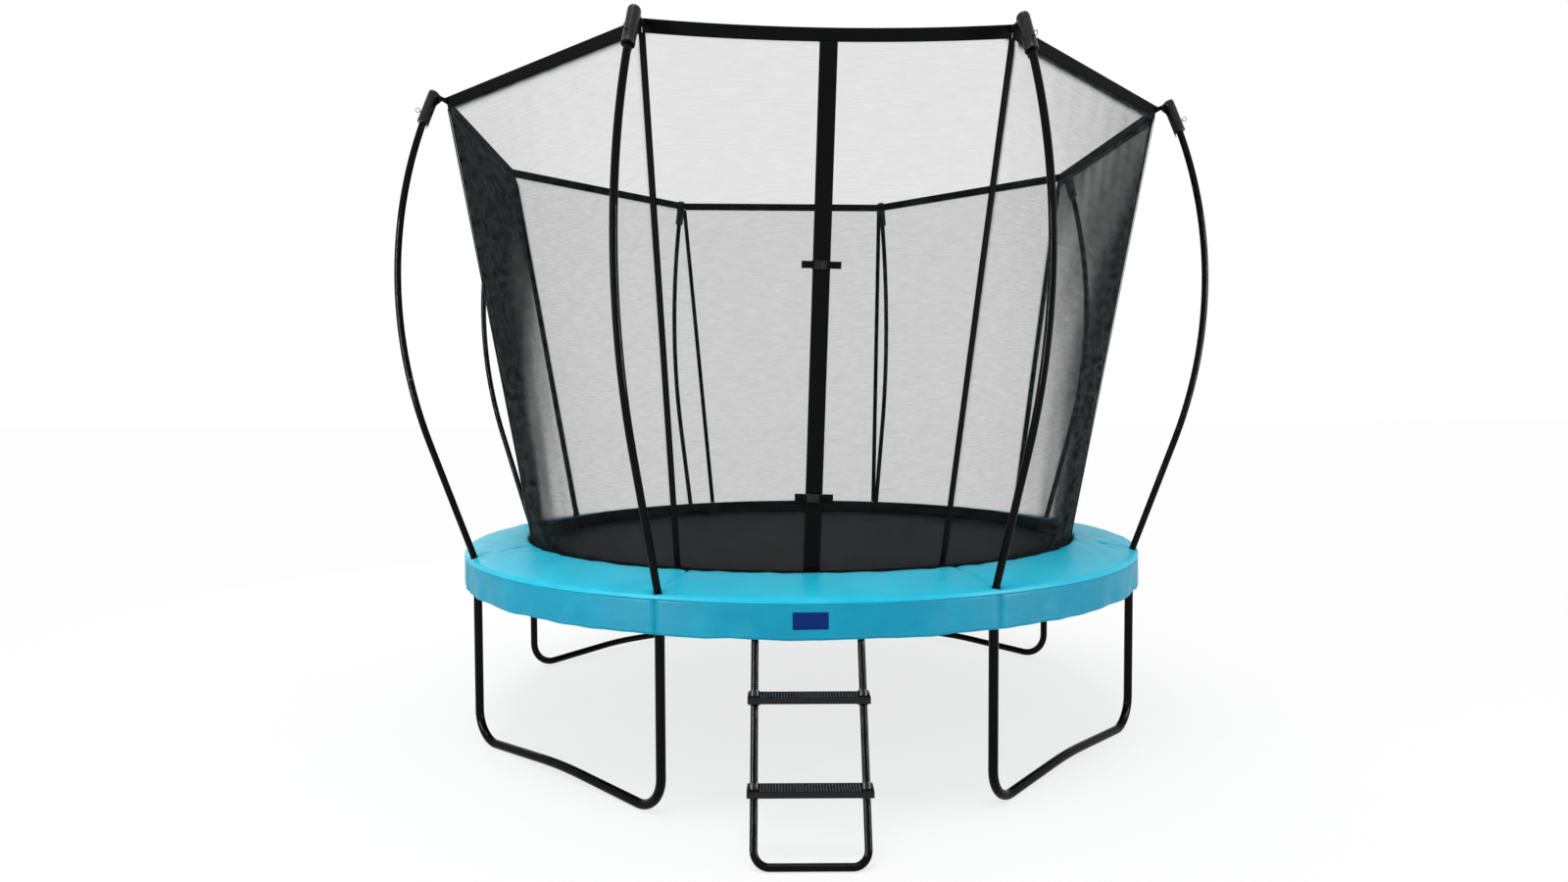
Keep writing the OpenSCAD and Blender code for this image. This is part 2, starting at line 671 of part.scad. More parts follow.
module buckle_plug(z) color("#101112") buckle_place(z) translate([buckle_floor, 0, 0]) {
    difference() {
        translate([0, 2 + 2 * rest_gap, -buckle_h / 2]) cube([buckle_t, plug_len, buckle_h]);
        strap_slot(plug_bar);
    }
    for (m = [-1, 0, 1]) translate([2.9, 2 - prong_len, m * (buckle_h / 2 - 5.8) - 1.6])
        cube([buckle_t - 5.8, prong_len + 1, 3.2]);
}

// ---- mat and springs

// the stitches of the border press the mat's edge a little lower
module jump_mat() color("#1b1c1d") translate([0, 0, mat_top - mat_t]) {
    cylinder(r = mat_r - border_w, h = mat_t);
    cylinder(r = mat_r, h = mat_t - rest_gap);
}

module each_spring() for (i = [1 : posts], k = [1 : springs_per_rail])
    at_angle(spring_angle(i, k)) translate([0, 0, spring_z]) children();

module mat_border() color("#1b1c1d") difference() {
    union() {
        translate([0, 0, border_top - border_t]) rotate_extrude()
            translate([mat_r - border_w, 0]) square([border_w + rest_gap + 1, border_t]);
        each_spring() translate([v_base_r, 0, 0]) rotate([90, 0, 0])
            cylinder(d = loop_out_d, h = v_width / 2, center = true);
    }
    each_spring() translate([v_base_r, 0, 0]) rotate([90, 0, 0])
        cylinder(d = loop_rod, h = v_width, center = true);
}

module mat_rings() color("silver") each_spring() translate([v_base_r, 0, -v_wire / 2])
    linear_extrude(v_wire) difference() {
        polygon([[-v_wire / 2, -v_width / 2], [-v_wire / 2, v_width / 2],
                 [v_depth, v_wire * 1.6], [v_depth, -v_wire * 1.6]]);
        polygon([[v_wire / 2, -v_width / 2 + 1.6 * v_wire], [v_wire / 2, v_width / 2 - 1.6 * v_wire],
                 [v_depth - v_wire, v_wire * 0.5], [v_depth - v_wire, -v_wire * 0.5]]);
    }

module springs() color("silver") each_spring() rotate([0, 90, 0]) {
    translate([0, 0, v_tip_r + rest_gap]) cylinder(d = hook_wire, h = frame_r - v_tip_r - 8);
    translate([0, 0, coil_start]) cylinder(d = coil_d, h = coil_end - coil_start);
}

// ---- pad

// height of the pad's top at share t from its inner to its outer edge
function pad_top(t) = mix(pad_low + pad_inner_t, pad_lift + pad_outer_t, t)
    + 4 * pad_crown * t * (1 - t) - 9 * pow(1 - t, 24);

// the pad's section, drawn in by e, from its inner edge out to radius out
module pad_section(e, out) {
    last = min(1, (out - pad_in) / (pad_out - pad_in));
    polygon(concat(
        [[pad_in + e, pad_low + e]],
        [for (j = [0 : pad_steps]) let (t = last * j / pad_steps)
            [j == 0 ? pad_in + e : mix(pad_in, pad_out, t), pad_top(t) - e]],
        out > pad_lift_r ? [[out, pad_lift], [pad_lift_r + 1, pad_lift], [pad_lift_r, pad_low + e]]
                         : [[out, pad_low + e]]));
}

// one section between two poles: +e at the ends keeps the inner parts inside
module pad_sector(i, e, out) {
    trim = turn(seam_gap / 2 + e, frame_r);
    ring_sweep(post_angle(i) + trim, post_step - 2 * trim) pad_section(e, out);
}

module pole_clearance(i) at_angle(post_angle(i)) pole_foot() cylinder(d = pole_hole_d, h = 120);

module pad_covers() color("#35c3dd") for (i = [1 : posts]) difference() {
    pad_sector(i, 0, pad_out);
    pad_sector(i, cover_t, foam_end);
    for (k = [i, i + 1]) pole_clearance(k);
}

module pad_foams() color("#e8e4da") for (i = [1 : posts])
    pad_sector(i, cover_t + rest_gap, foam_end - rest_gap);

module skirt_sector(i) color("#1b9fbb")
    ring_sweep(post_angle(i) + turn(seam_gap / 2, pad_out), post_step - turn(seam_gap, pad_out))
        translate([pad_out - skirt_t, frame_h - skirt_drop])
            square([skirt_t, pad_lift - rest_gap - frame_h + skirt_drop]);

module pad_skirts() for (i = [1 : posts - 1]) skirt_sector(i);
module door_skirt() skirt_sector(0);

module skirt_patch() {
    half = turn(patch_w / 2, pad_out);
    color("#0c2a6b") ring_sweep(patch_turn - half, 2 * half)
        translate([pad_out + rest_gap, frame_h - skirt_drop + patch_up - patch_h / 2]) square([0.8, patch_h]);
}

// ---- ladder

module ladder_place() at_angle(ladder_turn) children();

// the leaning plane of the rails: +Z up the rails, from the middle of the foot bar
module ladder_slope() translate([foot_x, 0, foot_z]) rotate([0, -ladder_lean, 0]) children();

module beside(m) translate([0, m * ladder_w / 2, 0]) children();

module step_screw_place(up) ladder_slope() translate([0, 0, up]) rotate([0, 90, 0]) children();

module ladder_hook() translate([grip_x, -hook_w / 2, frame_h]) {
    translate([0, hook_w, 0]) rotate([90, 0, 0]) rotate_extrude(angle = 180)
        translate([grip_in, 0]) square([hook_t, hook_w]);
    translate([grip_in, 0, elbow_z + 10 - frame_h]) cube([hook_t, hook_w, frame_h - elbow_z - 10]);
    translate([-grip_out, 0, -8]) cube([hook_t, hook_w, 8]);
}

module ladder_rail(m) color("#202224") ladder_place() beside(m) {
    start = base_joint_up + rest_gap;
    difference() {
        ladder_slope() translate([0, 0, start]) linear_extrude(rail_len - weld_gap - start) tube_section(ladder_d);
        for (up = [low_step_up, high_step_up]) step_screw_place(up) cylinder(d = step_screw_hole, h = ladder_d);
    }
    translate([tube_x + elbow_r, 0, elbow_z]) rotate([90, 0, 0])
        run_bend(elbow_r, 180, ladder_lean) tube_section(ladder_d);
    difference() {
        union() {
            translate([tube_x, 0, elbow_z + weld_gap]) cylinder(d = ladder_d, h = tube_top - elbow_z - weld_gap);
            ladder_hook();
        }
        translate([tube_x, 0, elbow_z - 1]) cylinder(d = ladder_d - 2 * tube_wall, h = tube_top - elbow_z + 2);
    }
}

module ladder_rail_left() ladder_rail(-1);
module ladder_rail_right() ladder_rail(1);

// half of the foot's path, drawn with x across the ladder and y up the rails
module base_half(d, up) {
    run = ladder_w / 2 - base_bend_r;
    run_line(run) circle(d = d);
    translate([run, base_bend_r, 0]) run_bend(base_bend_r, -90, 90) circle(d = d);
    translate([ladder_w / 2, base_bend_r, 0]) rotate([-90, 0, 0]) cylinder(d = d, h = up - base_bend_r);
}

module base_path(d, up) for (m = [0, 1]) mirror([m, 0, 0]) base_half(d, up);

module ladder_base() color("#202224") ladder_place() ladder_slope() rotate([90, 0, 90]) difference() {
    union() {
        base_path(ladder_d, base_joint_up);
        for (m = [-1, 1]) translate([m * ladder_w / 2, base_joint_up - 6, 0]) rotate([-90, 0, 0])
            cylinder(d = ladder_d - neck_fit, h = base_neck + 6);
    }
    base_path(ladder_d - neck_fit - 2 * tube_wall, base_joint_up + base_neck + 1);
}

// a fillet under the step against the inner side of each socket
module step_gusset(m) beside(m) mirror([0, (m + 1) / 2, 0]) rotate([0, 90, 0])
    translate([step_t / 2 - 1, step_socket_d / 2 - 1, 0]) linear_extrude(step_socket_d / 2, center = true)
        difference() {
            square(gusset_r + 1);
            translate([gusset_r + 1, gusset_r + 1]) circle(r = gusset_r);
        }

module ladder_step(h, up) color("#1a1b1c") ladder_place() difference() {
    union() {
        translate([foot_x - (h - foot_z) * tan(ladder_lean), 0, h]) {
            cube([step_depth, ladder_w + 2 * step_reach, step_t], center = true);
            for (k = [0 : rib_count - 1])
                translate([0, (k + 0.5 - rib_count / 2) * (ladder_w - step_socket_d) / rib_count, step_t / 2])
                    cube([step_depth - 8, 2, 2.4], center = true);
            for (m = [-1, 1]) step_gusset(m);
        }
        for (m = [-1, 1]) beside(m) ladder_slope() translate([0, 0, up - step_socket_len / 2])
            cylinder(d = step_socket_d, h = step_socket_len);
    }
    for (m = [-1, 1]) beside(m) {
        ladder_slope() translate([0, 0, up - step_socket_len])
            cylinder(d = ladder_d + 2 * tube_fit, h = 2 * step_socket_len);
        step_screw_place(up) cylinder(d = step_screw_hole, h = step_depth);
        step_screw_place(up) translate([0, 0, step_screw_seat])
            cylinder(d = 2 * step_screw_d + 1, h = step_depth);
    }
}

module ladder_step_lower() ladder_step(low_step_h, low_step_up);
module ladder_step_upper() ladder_step(high_step_h, high_step_up);

module ladder_screws() color("silver") ladder_place()
    for (m = [-1, 1], up = [low_step_up, high_step_up]) beside(m) step_screw_place(up) {
        translate([0, 0, ladder_r - screw_grip])
            cylinder(d = step_screw_d, h = step_screw_seat - ladder_r + screw_grip + 1);
        translate([0, 0, step_screw_seat + rest_gap]) cylinder(d = 2 * step_screw_d, h = 3);
    }

for (i = [1 : posts]) {
    rail(i);
    pole_upper(i);
}
for (k = [1 : 4]) leg_base(k);
rail_tees();
leg_tubes();
leg_screws();
lower_poles();
pole_caps();
cap_rivets();
cap_rings();
corner_webbing();
net_panels();
door_panel_left();
door_panel_right();
net_top_band();
net_corner_tapes();
net_hem();
zip_tapes();
zip_teeth();
zip_flap();
zip_slider();
buckle_straps();
buckle_sockets();
buckle_plug(buckle_high_h);  // buckle_plug_upper
buckle_plug(buckle_low_h);  // buckle_plug_lower
plug_strap(buckle_high_h);  // plug_strap_upper
plug_strap(buckle_low_h);  // plug_strap_lower
jump_mat();
mat_border();
mat_rings();
springs();
pad_covers();
pad_foams();
pad_skirts();
door_skirt();
skirt_patch();
ladder_rail_left();
ladder_rail_right();
ladder_base();
ladder_step_upper();
ladder_step_lower();
ladder_screws();
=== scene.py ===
import math

import bmesh
import bpy
import numpy as np
from mathutils import Matrix, Vector


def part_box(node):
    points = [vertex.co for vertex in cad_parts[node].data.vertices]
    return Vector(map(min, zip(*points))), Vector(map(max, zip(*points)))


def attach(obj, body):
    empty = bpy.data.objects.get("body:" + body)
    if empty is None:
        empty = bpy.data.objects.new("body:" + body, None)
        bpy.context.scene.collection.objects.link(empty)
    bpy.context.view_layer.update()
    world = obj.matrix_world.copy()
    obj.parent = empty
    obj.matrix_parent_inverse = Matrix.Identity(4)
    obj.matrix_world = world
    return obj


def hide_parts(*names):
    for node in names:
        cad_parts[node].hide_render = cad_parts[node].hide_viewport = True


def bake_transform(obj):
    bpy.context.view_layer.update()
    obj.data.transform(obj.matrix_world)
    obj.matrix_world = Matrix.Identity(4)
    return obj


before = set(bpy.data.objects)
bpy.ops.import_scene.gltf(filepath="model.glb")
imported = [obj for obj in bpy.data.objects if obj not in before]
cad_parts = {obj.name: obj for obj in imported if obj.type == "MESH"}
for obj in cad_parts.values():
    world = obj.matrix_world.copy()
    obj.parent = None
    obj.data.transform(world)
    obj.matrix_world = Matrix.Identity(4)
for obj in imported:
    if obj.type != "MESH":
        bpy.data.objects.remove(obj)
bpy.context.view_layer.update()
scene = bpy.context.scene
print("frame loaded:", len(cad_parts), "nodes")

# ring: metres and degrees; angles run round the ring from the front, towards +X
ring = dict(step=45.0, radius=1.525, height=0.755)
ladderTurn = -3.0


def onRing(r, angle, z):
    a = math.radians(angle)
    return Vector((r * math.sin(a), -r * math.cos(a), z))


def postAngle(i):
    return ring["step"] * (i - 0.5)


def springAngle(i, k):
    return postAngle(i) + ring["step"] * (k - 0.5) / 8


def clamp(t):
    return min(1.0, max(0.0, t))


def smooth(t):
    t = clamp(t)
    return t * t * (3 - 2 * t)


# camera at the height of a standing child's eyes, a little left of the ladder

view = dict(place=(-0.336, -4.790, 1.436), yaw=0.0545, down=0.0385, roll=0.0041, lens=22.576)


def makeCamera():
    yaw, down, roll = view["yaw"], view["down"], view["roll"]
    forward = Vector((math.sin(yaw) * math.cos(down), math.cos(yaw) * math.cos(down), -math.sin(down)))
    level = Vector((math.cos(yaw), -math.sin(yaw), 0))
    up = level.cross(forward)
    right = level * math.cos(roll) - up * math.sin(roll)
    up = level * math.sin(roll) + up * math.cos(roll)
    turn = Matrix((right, up, -forward)).transposed().to_4x4()
    data = bpy.data.cameras.new("standingView")
    data.lens = view["lens"]
    data.sensor_width = 36
    data.clip_end = 200
    camera = bpy.data.objects.new("standingView", data)
    camera.matrix_world = Matrix.Translation(view["place"]) @ turn
    scene.collection.objects.link(camera)
    scene.camera = camera


makeCamera()

def fromHex(code):
    parts = [int(code[i:i + 2], 16) / 255 for i in (1, 3, 5)]
    return tuple(c / 12.92 if c <= 0.04045 else ((c + 0.055) / 1.055) ** 2.4 for c in parts) + (1.0,)


def addNode(tree, kind, settings=None, links=None):
    # each link is a fixed value, a socket, or a node whose first output is meant
    node = tree.nodes.new(kind)
    for key, value in (settings or {}).items():
        setattr(node, key, value)
    for key, value in (links or {}).items():
        if isinstance(value, bpy.types.Node):
            value = value.outputs[0]
        if isinstance(value, bpy.types.NodeSocket):
            tree.links.new(value, node.inputs[key])
        else:
            node.inputs[key].default_value = value
    return node


def newMaterial(name):
    # the Object coordinates are metres, and a cloth's own map is in metres along its weave;
    # a noise of scale 1000 / n has patches about n millimetres wide
    material = bpy.data.materials.new(name)
    material.use_nodes = True
    material.node_tree.nodes.clear()
    given = addNode(material.node_tree, "ShaderNodeTexCoord").outputs
    return material, material.node_tree, given["Object"], given["UV"]


def makeEnamel():
    # black powder coat over steel tube: glossy, near black, with a slow orange peel and greyer cloudy patches
    material, tree, where, _ = newMaterial("blackPowderCoat")
    cloud = addNode(tree, "ShaderNodeTexNoise", links={"Vector": where, "Scale": 1000 / 160, "Detail": 3.0})
    wear = addNode(tree, "ShaderNodeTexNoise", links={"Vector": where, "Scale": 1000 / 60, "Detail": 4.0})
    peel = addNode(tree, "ShaderNodeTexNoise", links={"Vector": where, "Scale": 1000 / 12, "Detail": 1.0})
    patch = addNode(tree, "ShaderNodeMapRange", links={"Value": cloud, "From Min": 0.3, "From Max": 0.7})
    tint = addNode(tree, "ShaderNodeMix", {"data_type": "RGBA"}, {
        0: patch, 6: fromHex("#010101"), 7: fromHex("#050606")})
    dull = addNode(tree, "ShaderNodeMapRange", links={
        "Value": wear, "From Min": 0.3, "From Max": 0.7, "To Min": 0.16, "To Max": 0.26})
    bump = addNode(tree, "ShaderNodeBump", links={"Height": peel, "Strength": 0.15, "Distance": 0.00006})
    shader = addNode(tree, "ShaderNodeBsdfPrincipled", links={
        "Base Color": tint.outputs[2], "Roughness": dull, "Normal": bump,
        "Specular IOR Level": 0.03, "Coat Weight": 0.1, "Coat Roughness": 0.05})
    addNode(tree, "ShaderNodeOutputMaterial", links={"Surface": shader})
    return material


# the painted highlight on the tops of a step's ribs: above the step's middle, how thick a layer, and how far out to
# either side
tread = dict(crest=0.0112, layer=0.0008, half=0.158)


def makePlastic(name, crest=None):
    # injection-moulded black polypropylene: softly glossy, fine spark-eroded grain; where a crest height is given,
    # the highest faces are painted a lighter grey as a painted highlight
    material, tree, where, _ = newMaterial(name)
    cloud = addNode(tree, "ShaderNodeTexNoise", links={"Vector": where, "Scale": 1000 / 40, "Detail": 5.0})
    scuffAndShine = addNode(tree, "ShaderNodeTexNoise", links={"Vector": where, "Scale": 1000 / 25, "Detail": 6.0})
    grain = addNode(tree, "ShaderNodeTexNoise", links={"Vector": where, "Scale": 1000 / 1.6, "Detail": 1.0})
    patch = addNode(tree, "ShaderNodeMapRange", links={"Value": cloud, "From Min": 0.3, "From Max": 0.7})
    tint = addNode(tree, "ShaderNodeMix", {"data_type": "RGBA"}, {
        0: patch, 6: fromHex("#040405"), 7: fromHex("#0D0E0F")})
    if crest is not None:
        # painted highlight: the raised rib tops are mixed unevenly towards a light grey, as if lit from above
        height = addNode(tree, "ShaderNodeSeparateXYZ", links={0: where})
        highlightBand = addNode(tree, "ShaderNodeMath", {"operation": "COMPARE"}, {
            0: height.outputs["Z"], 1: crest, 2: tread["layer"]})
        uneven = addNode(tree, "ShaderNodeMapRange", links={
            "Value": scuffAndShine, "From Min": 0.3, "From Max": 0.7, "To Min": 0.45, "To Max": 1.0})
        across = addNode(tree, "ShaderNodeVectorMath", {"operation": "DOT_PRODUCT"}, {
            0: where, 1: tuple(onRing(1, ladderTurn + 90, 0))})
        aside = addNode(tree, "ShaderNodeMath", {"operation": "ABSOLUTE"}, {0: across.outputs["Value"]})
        ribbed = addNode(tree, "ShaderNodeMath", {"operation": "LESS_THAN"}, {0: aside, 1: tread["half"]})
        paintedHighlight = addNode(tree, "ShaderNodeMath", {"operation": "MULTIPLY"}, {0: highlightBand, 1: uneven})
        share = addNode(tree, "ShaderNodeMath", {"operation": "MULTIPLY"}, {0: paintedHighlight, 1: ribbed})
        tint = addNode(tree, "ShaderNodeMix", {"data_type": "RGBA"}, {
            0: share, 6: tint.outputs[2], 7: fromHex("#808284")})
    dull = addNode(tree, "ShaderNodeMapRange", links={
        "Value": scuffAndShine, "From Min": 0.3, "From Max": 0.7, "To Min": 0.26, "To Max": 0.42})
    bump = addNode(tree, "ShaderNodeBump", links={"Height": grain, "Strength": 0.3, "Distance": 0.00006})
    shader = addNode(tree, "ShaderNodeBsdfPrincipled", links={
        "Base Color": tint.outputs[2], "Roughness": dull, "Normal": bump, "IOR": 1.49, "Specular IOR Level": 0.25})
    addNode(tree, "ShaderNodeOutputMaterial", links={"Surface": shader})
    return material


def makeZinc(name, dark, light):
    # zinc plate on wire and screws: clean metal with faint cloudy spangle
    material, tree, where, _ = newMaterial(name)
    spangle = addNode(tree, "ShaderNodeTexNoise", links={"Vector": where, "Scale": 1000 / 9, "Detail": 3.0})
    dulling = addNode(tree, "ShaderNodeTexNoise", links={"Vector": where, "Scale": 1000 / 6, "Detail": 4.0})
    drawn = addNode(tree, "ShaderNodeTexNoise", links={"Vector": where, "Scale": 1000 / 2})
    patch = addNode(tree, "ShaderNodeMapRange", links={"Value": spangle, "From Min": 0.3, "From Max": 0.7})
    tint = addNode(tree, "ShaderNodeMix", {"data_type": "RGBA"}, {0: patch, 6: fromHex(dark), 7: fromHex(light)})
    dull = addNode(tree, "ShaderNodeMapRange", links={
        "Value": dulling, "From Min": 0.3, "From Max": 0.7, "To Min": 0.2, "To Max": 0.38})
    bump = addNode(tree, "ShaderNodeBump", links={"Height": drawn, "Strength": 0.4, "Distance": 0.00003})
    shader = addNode(tree, "ShaderNodeBsdfPrincipled", links={
        "Base Color": tint.outputs[2], "Roughness": dull, "Normal": bump, "Metallic": 1.0})
    addNode(tree, "ShaderNodeOutputMaterial", links={"Surface": shader})
    return material


def makeVinyl(name, dark, light):
    # knife-coated PVC on polyester scrim: satin, the scrim grid telegraphs through, soft handling creases
    material, tree, where, along = newMaterial(name)
    cloud = addNode(tree, "ShaderNodeTexNoise", links={"Vector": where, "Scale": 1000 / 190, "Detail": 3.0})
    squeezed = addNode(tree, "ShaderNodeMapping", links={"Vector": where, "Scale": (1.0, 1.0, 1.6)})
    crease = addNode(tree, "ShaderNodeTexNoise", links={
        "Vector": squeezed, "Scale": 1000 / 70, "Detail": 4.0, "Roughness": 0.6})
    blend = addNode(tree, "ShaderNodeMix", links={0: 0.4, 2: cloud, 3: crease})
    patch = addNode(tree, "ShaderNodeMapRange", links={"Value": blend, "From Min": 0.3, "From Max": 0.7})
    tint = addNode(tree, "ShaderNodeMix", {"data_type": "RGBA"}, {0: patch, 6: fromHex(dark), 7: fromHex(light)})
    dull = addNode(tree, "ShaderNodeMapRange", links={
        "Value": crease, "From Min": 0.3, "From Max": 0.7, "To Min": 0.36, "To Max": 0.5})
    # wave bands repeat every pi / (10 * scale); scrim yarns are 1 mm apart, drawn at 5 mm so that they show
    warp = addNode(tree, "ShaderNodeTexWave", {"bands_direction": "X"}, {"Vector": along, "Scale": 100 * math.pi / 5})
    weft = addNode(tree, "ShaderNodeTexWave", {"bands_direction": "Y"}, {"Vector": along, "Scale": 100 * math.pi / 5})
    scrim = addNode(tree, "ShaderNodeMath", {"operation": "MAXIMUM"}, {
        0: warp.outputs["Fac"], 1: weft.outputs["Fac"]})
    folds = addNode(tree, "ShaderNodeBump", links={"Height": crease, "Strength": 0.55, "Distance": 0.0022})
    bump = addNode(tree, "ShaderNodeBump", links={
        "Height": scrim, "Strength": 0.3, "Distance": 0.00012, "Normal": folds})
    shader = addNode(tree, "ShaderNodeBsdfPrincipled", links={
        "Base Color": tint.outputs[2], "Roughness": dull, "Normal": bump, "IOR": 1.52, "Specular IOR Level": 0.14})
    addNode(tree, "ShaderNodeOutputMaterial", links={"Surface": shader})
    return material


def makeNet():
    # knitted polyethylene safety net, 3 mm holes: seen from afar an even black veil that closes up along its plane
    material, tree, where, along = newMaterial("knittedPolyethyleneNet")
    rowMap = addNode(tree, "ShaderNodeMapping", links={"Vector": along, "Scale": (0.1, 1.0, 1.0)})
    rows = addNode(tree, "ShaderNodeTexNoise", links={"Vector": rowMap, "Scale": 1000 / 7, "Roughness": 0.6})
    sag = addNode(tree, "ShaderNodeTexNoise", links={"Vector": along, "Scale": 1000 / 60, "Detail": 3.0})
    knit = addNode(tree, "ShaderNodeMix", links={0: 0.25, 2: rows, 3: sag})
    # painted highlights: lighter grey streaks in the net's colour stand in for its wrinkles catching the light
    wrinkleShineMap = addNode(tree, "ShaderNodeMapping", links={"Vector": along, "Scale": (0.5, 1.0, 1.0)})
    wrinkleShine = addNode(tree, "ShaderNodeTexNoise", links={
        "Vector": wrinkleShineMap, "Scale": 1000 / 36, "Detail": 3.0, "Roughness": 0.65})
    patch = addNode(tree, "ShaderNodeMapRange", links={"Value": wrinkleShine, "From Min": 0.34, "From Max": 0.68})
    tint = addNode(tree, "ShaderNodeMix", {"data_type": "RGBA"}, {
        0: patch, 6: fromHex("#050606"), 7: fromHex("#3A4040")})
    # the yarn's relief shuts the holes at a slant, as a reed mat does:
    # cover = 1 - exp(-yarn (1 + 0.55 (1 / cos - 1)^3))
    slant = addNode(tree, "ShaderNodeLayerWeight", links={"Blend": 0.5}).outputs["Facing"]
    cosine = addNode(tree, "ShaderNodeMath", {"operation": "SUBTRACT"}, {0: 1.0, 1: slant})
    floor = addNode(tree, "ShaderNodeMath", {"operation": "MAXIMUM"}, {0: cosine, 1: 0.06})
    depth = addNode(tree, "ShaderNodeMath", {"operation": "DIVIDE"}, {0: 1.0, 1: floor})
    extra = addNode(tree, "ShaderNodeMath", {"operation": "SUBTRACT"}, {0: depth, 1: 1.0})
    cubed = addNode(tree, "ShaderNodeMath", {"operation": "POWER"}, {0: extra, 1: 3.0})
    closing = addNode(tree, "ShaderNodeMath", {"operation": "MULTIPLY_ADD"}, {0: cubed, 1: 0.55, 2: 1.0})
    share = addNode(tree, "ShaderNodeMapRange", links={
        "Value": knit, "From Min": 0.35, "From Max": 0.65, "To Min": 0.112, "To Max": 0.152})
    yarn = addNode(tree, "ShaderNodeMath", {"operation": "MULTIPLY"}, {0: share, 1: closing})
    fade = addNode(tree, "ShaderNodeMath", {"operation": "MULTIPLY"}, {0: yarn, 1: -1.0})
    through = addNode(tree, "ShaderNodeMath", {"operation": "EXPONENT"}, {0: fade})
    cover = addNode(tree, "ShaderNodeMath", {"operation": "SUBTRACT"}, {0: 1.0, 1: through})
    bumps = addNode(tree, "ShaderNodeTexNoise", links={"Vector": along, "Scale": 1000 / 5})
    bump = addNode(tree, "ShaderNodeBump", links={"Height": bumps, "Strength": 0.3, "Distance": 0.0003})
    shader = addNode(tree, "ShaderNodeBsdfPrincipled", links={
        "Base Color": tint.outputs[2], "Alpha": cover, "Normal": bump, "Roughness": 0.8, "IOR": 1.5,
        "Specular IOR Level": 0.02})
    addNode(tree, "ShaderNodeOutputMaterial", links={"Surface": shader})
    return material


def makeWoven(name, dark, light, pitch, gloss, fleck=30, share=0.5):
    # woven polypropylene: matt cross ribs with a slight lustre on each; pitch between ribs and fleck in millimetres
    material, tree, where, along = newMaterial(name)
    warp = addNode(tree, "ShaderNodeTexWave", {"bands_direction": "X"}, {
        "Vector": along, "Scale": 100 * math.pi / pitch, "Distortion": 0.4, "Detail": 1.0})
    weft = addNode(tree, "ShaderNodeTexWave", {"bands_direction": "Y"}, {
        "Vector": along, "Scale": 100 * math.pi / pitch, "Distortion": 0.4, "Detail": 1.0})
    weave = addNode(tree, "ShaderNodeMath", {"operation": "MAXIMUM"}, {
        0: warp.outputs["Fac"], 1: weft.outputs["Fac"]})
    cloud = addNode(tree, "ShaderNodeTexNoise", links={"Vector": where, "Scale": 1000 / fleck, "Detail": 4.0})
    blend = addNode(tree, "ShaderNodeMix", links={0: share, 2: cloud, 3: weave})
    patch = addNode(tree, "ShaderNodeMapRange", links={"Value": blend, "From Min": 0.3, "From Max": 0.7})
    tint = addNode(tree, "ShaderNodeMix", {"data_type": "RGBA"}, {0: patch, 6: fromHex(dark), 7: fromHex(light)})
    dull = addNode(tree, "ShaderNodeMapRange", links={"Value": weave, "To Min": gloss + 0.1, "To Max": gloss - 0.05})
    bump = addNode(tree, "ShaderNodeBump", links={"Height": weave, "Strength": 0.5, "Distance": 0.00025})
    shader = addNode(tree, "ShaderNodeBsdfPrincipled", links={
        "Base Color": tint.outputs[2], "Roughness": dull, "Normal": bump, "IOR": 1.49, "Specular IOR Level": 0.05})
    addNode(tree, "ShaderNodeOutputMaterial", links={"Surface": shader})
    return material


enamel = makeEnamel()
plastic = makePlastic("mouldedPolypropylene")
treads = {}
for step in ("upper", "lower"):
    low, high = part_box("ladder_step_" + step)
    treads[step] = makePlastic(step + "Tread", (low[2] + high[2]) / 2 + tread["crest"])
zinc = makeZinc("brightZincPlate", "#A9ACAF", "#D4D6D8")
darkZinc = makeZinc("blackPassivatedZinc", "#1C1D1E", "#3A3C3E")
# the top and the skirt are one coated polyester; the skirt's copy is darker, painted shade for its upright faces
vinylTop = makeVinyl("coatedPolyesterTop", "#08BBDC", "#2CCDEA")
shadedVinylSkirt = makeVinyl("coatedPolyesterSkirtShaded", "#0390B0", "#0AA0C2")
netting = makeNet()
# the tape's ribs and the mat's yarns are 1.5 mm apart and are drawn coarser, so that they show
tape = makeWoven("wovenPolypropyleneTape", "#010101", "#060707", 3.0, 0.75)
label = makeWoven("wovenLabelNavy", "#062059", "#0C3078", 1.2, 0.6)
jumpCloth = makeWoven("wovenPolypropyleneMat", "#111314", "#181A1B", 8.0, 0.75, 240, 0.3)
topThread = makeWoven("bondedThreadTurquoise", "#1CB2CE", "#4CCDE2", 0.8, 0.5)
darkThread = makeWoven("bondedThreadBlack", "#141516", "#2C2E30", 0.8, 0.5)
print("finishes made")

# making pieces


def place(name, verts, faces, material, flat=False, uvs=None):
    mesh = bpy.data.meshes.new(name)
    mesh.from_pydata([tuple(v) for v in verts], [], faces)
    if uvs:
        layer = mesh.uv_layers.new(name="cloth")
        for loop in mesh.loops:
            layer.data[loop.index].uv = uvs[loop.vertex_index]
    mesh.polygons.foreach_set("use_smooth", [not flat] * len(mesh.polygons))
    mesh.materials.append(material)
    mesh.update()
    piece = bpy.data.objects.new(name, mesh)
    scene.collection.objects.link(piece)
    return piece


def baked(piece):
    # the evaluated mesh takes the place of the modifiers
    bpy.context.view_layer.update()
    graph = bpy.context.evaluated_depsgraph_get()
    mesh = bpy.data.meshes.new_from_object(piece.evaluated_get(graph), preserve_all_data_layers=True, depsgraph=graph)
    mesh.name = piece.name
    piece.modifiers.clear()
    piece.data = mesh
    return piece


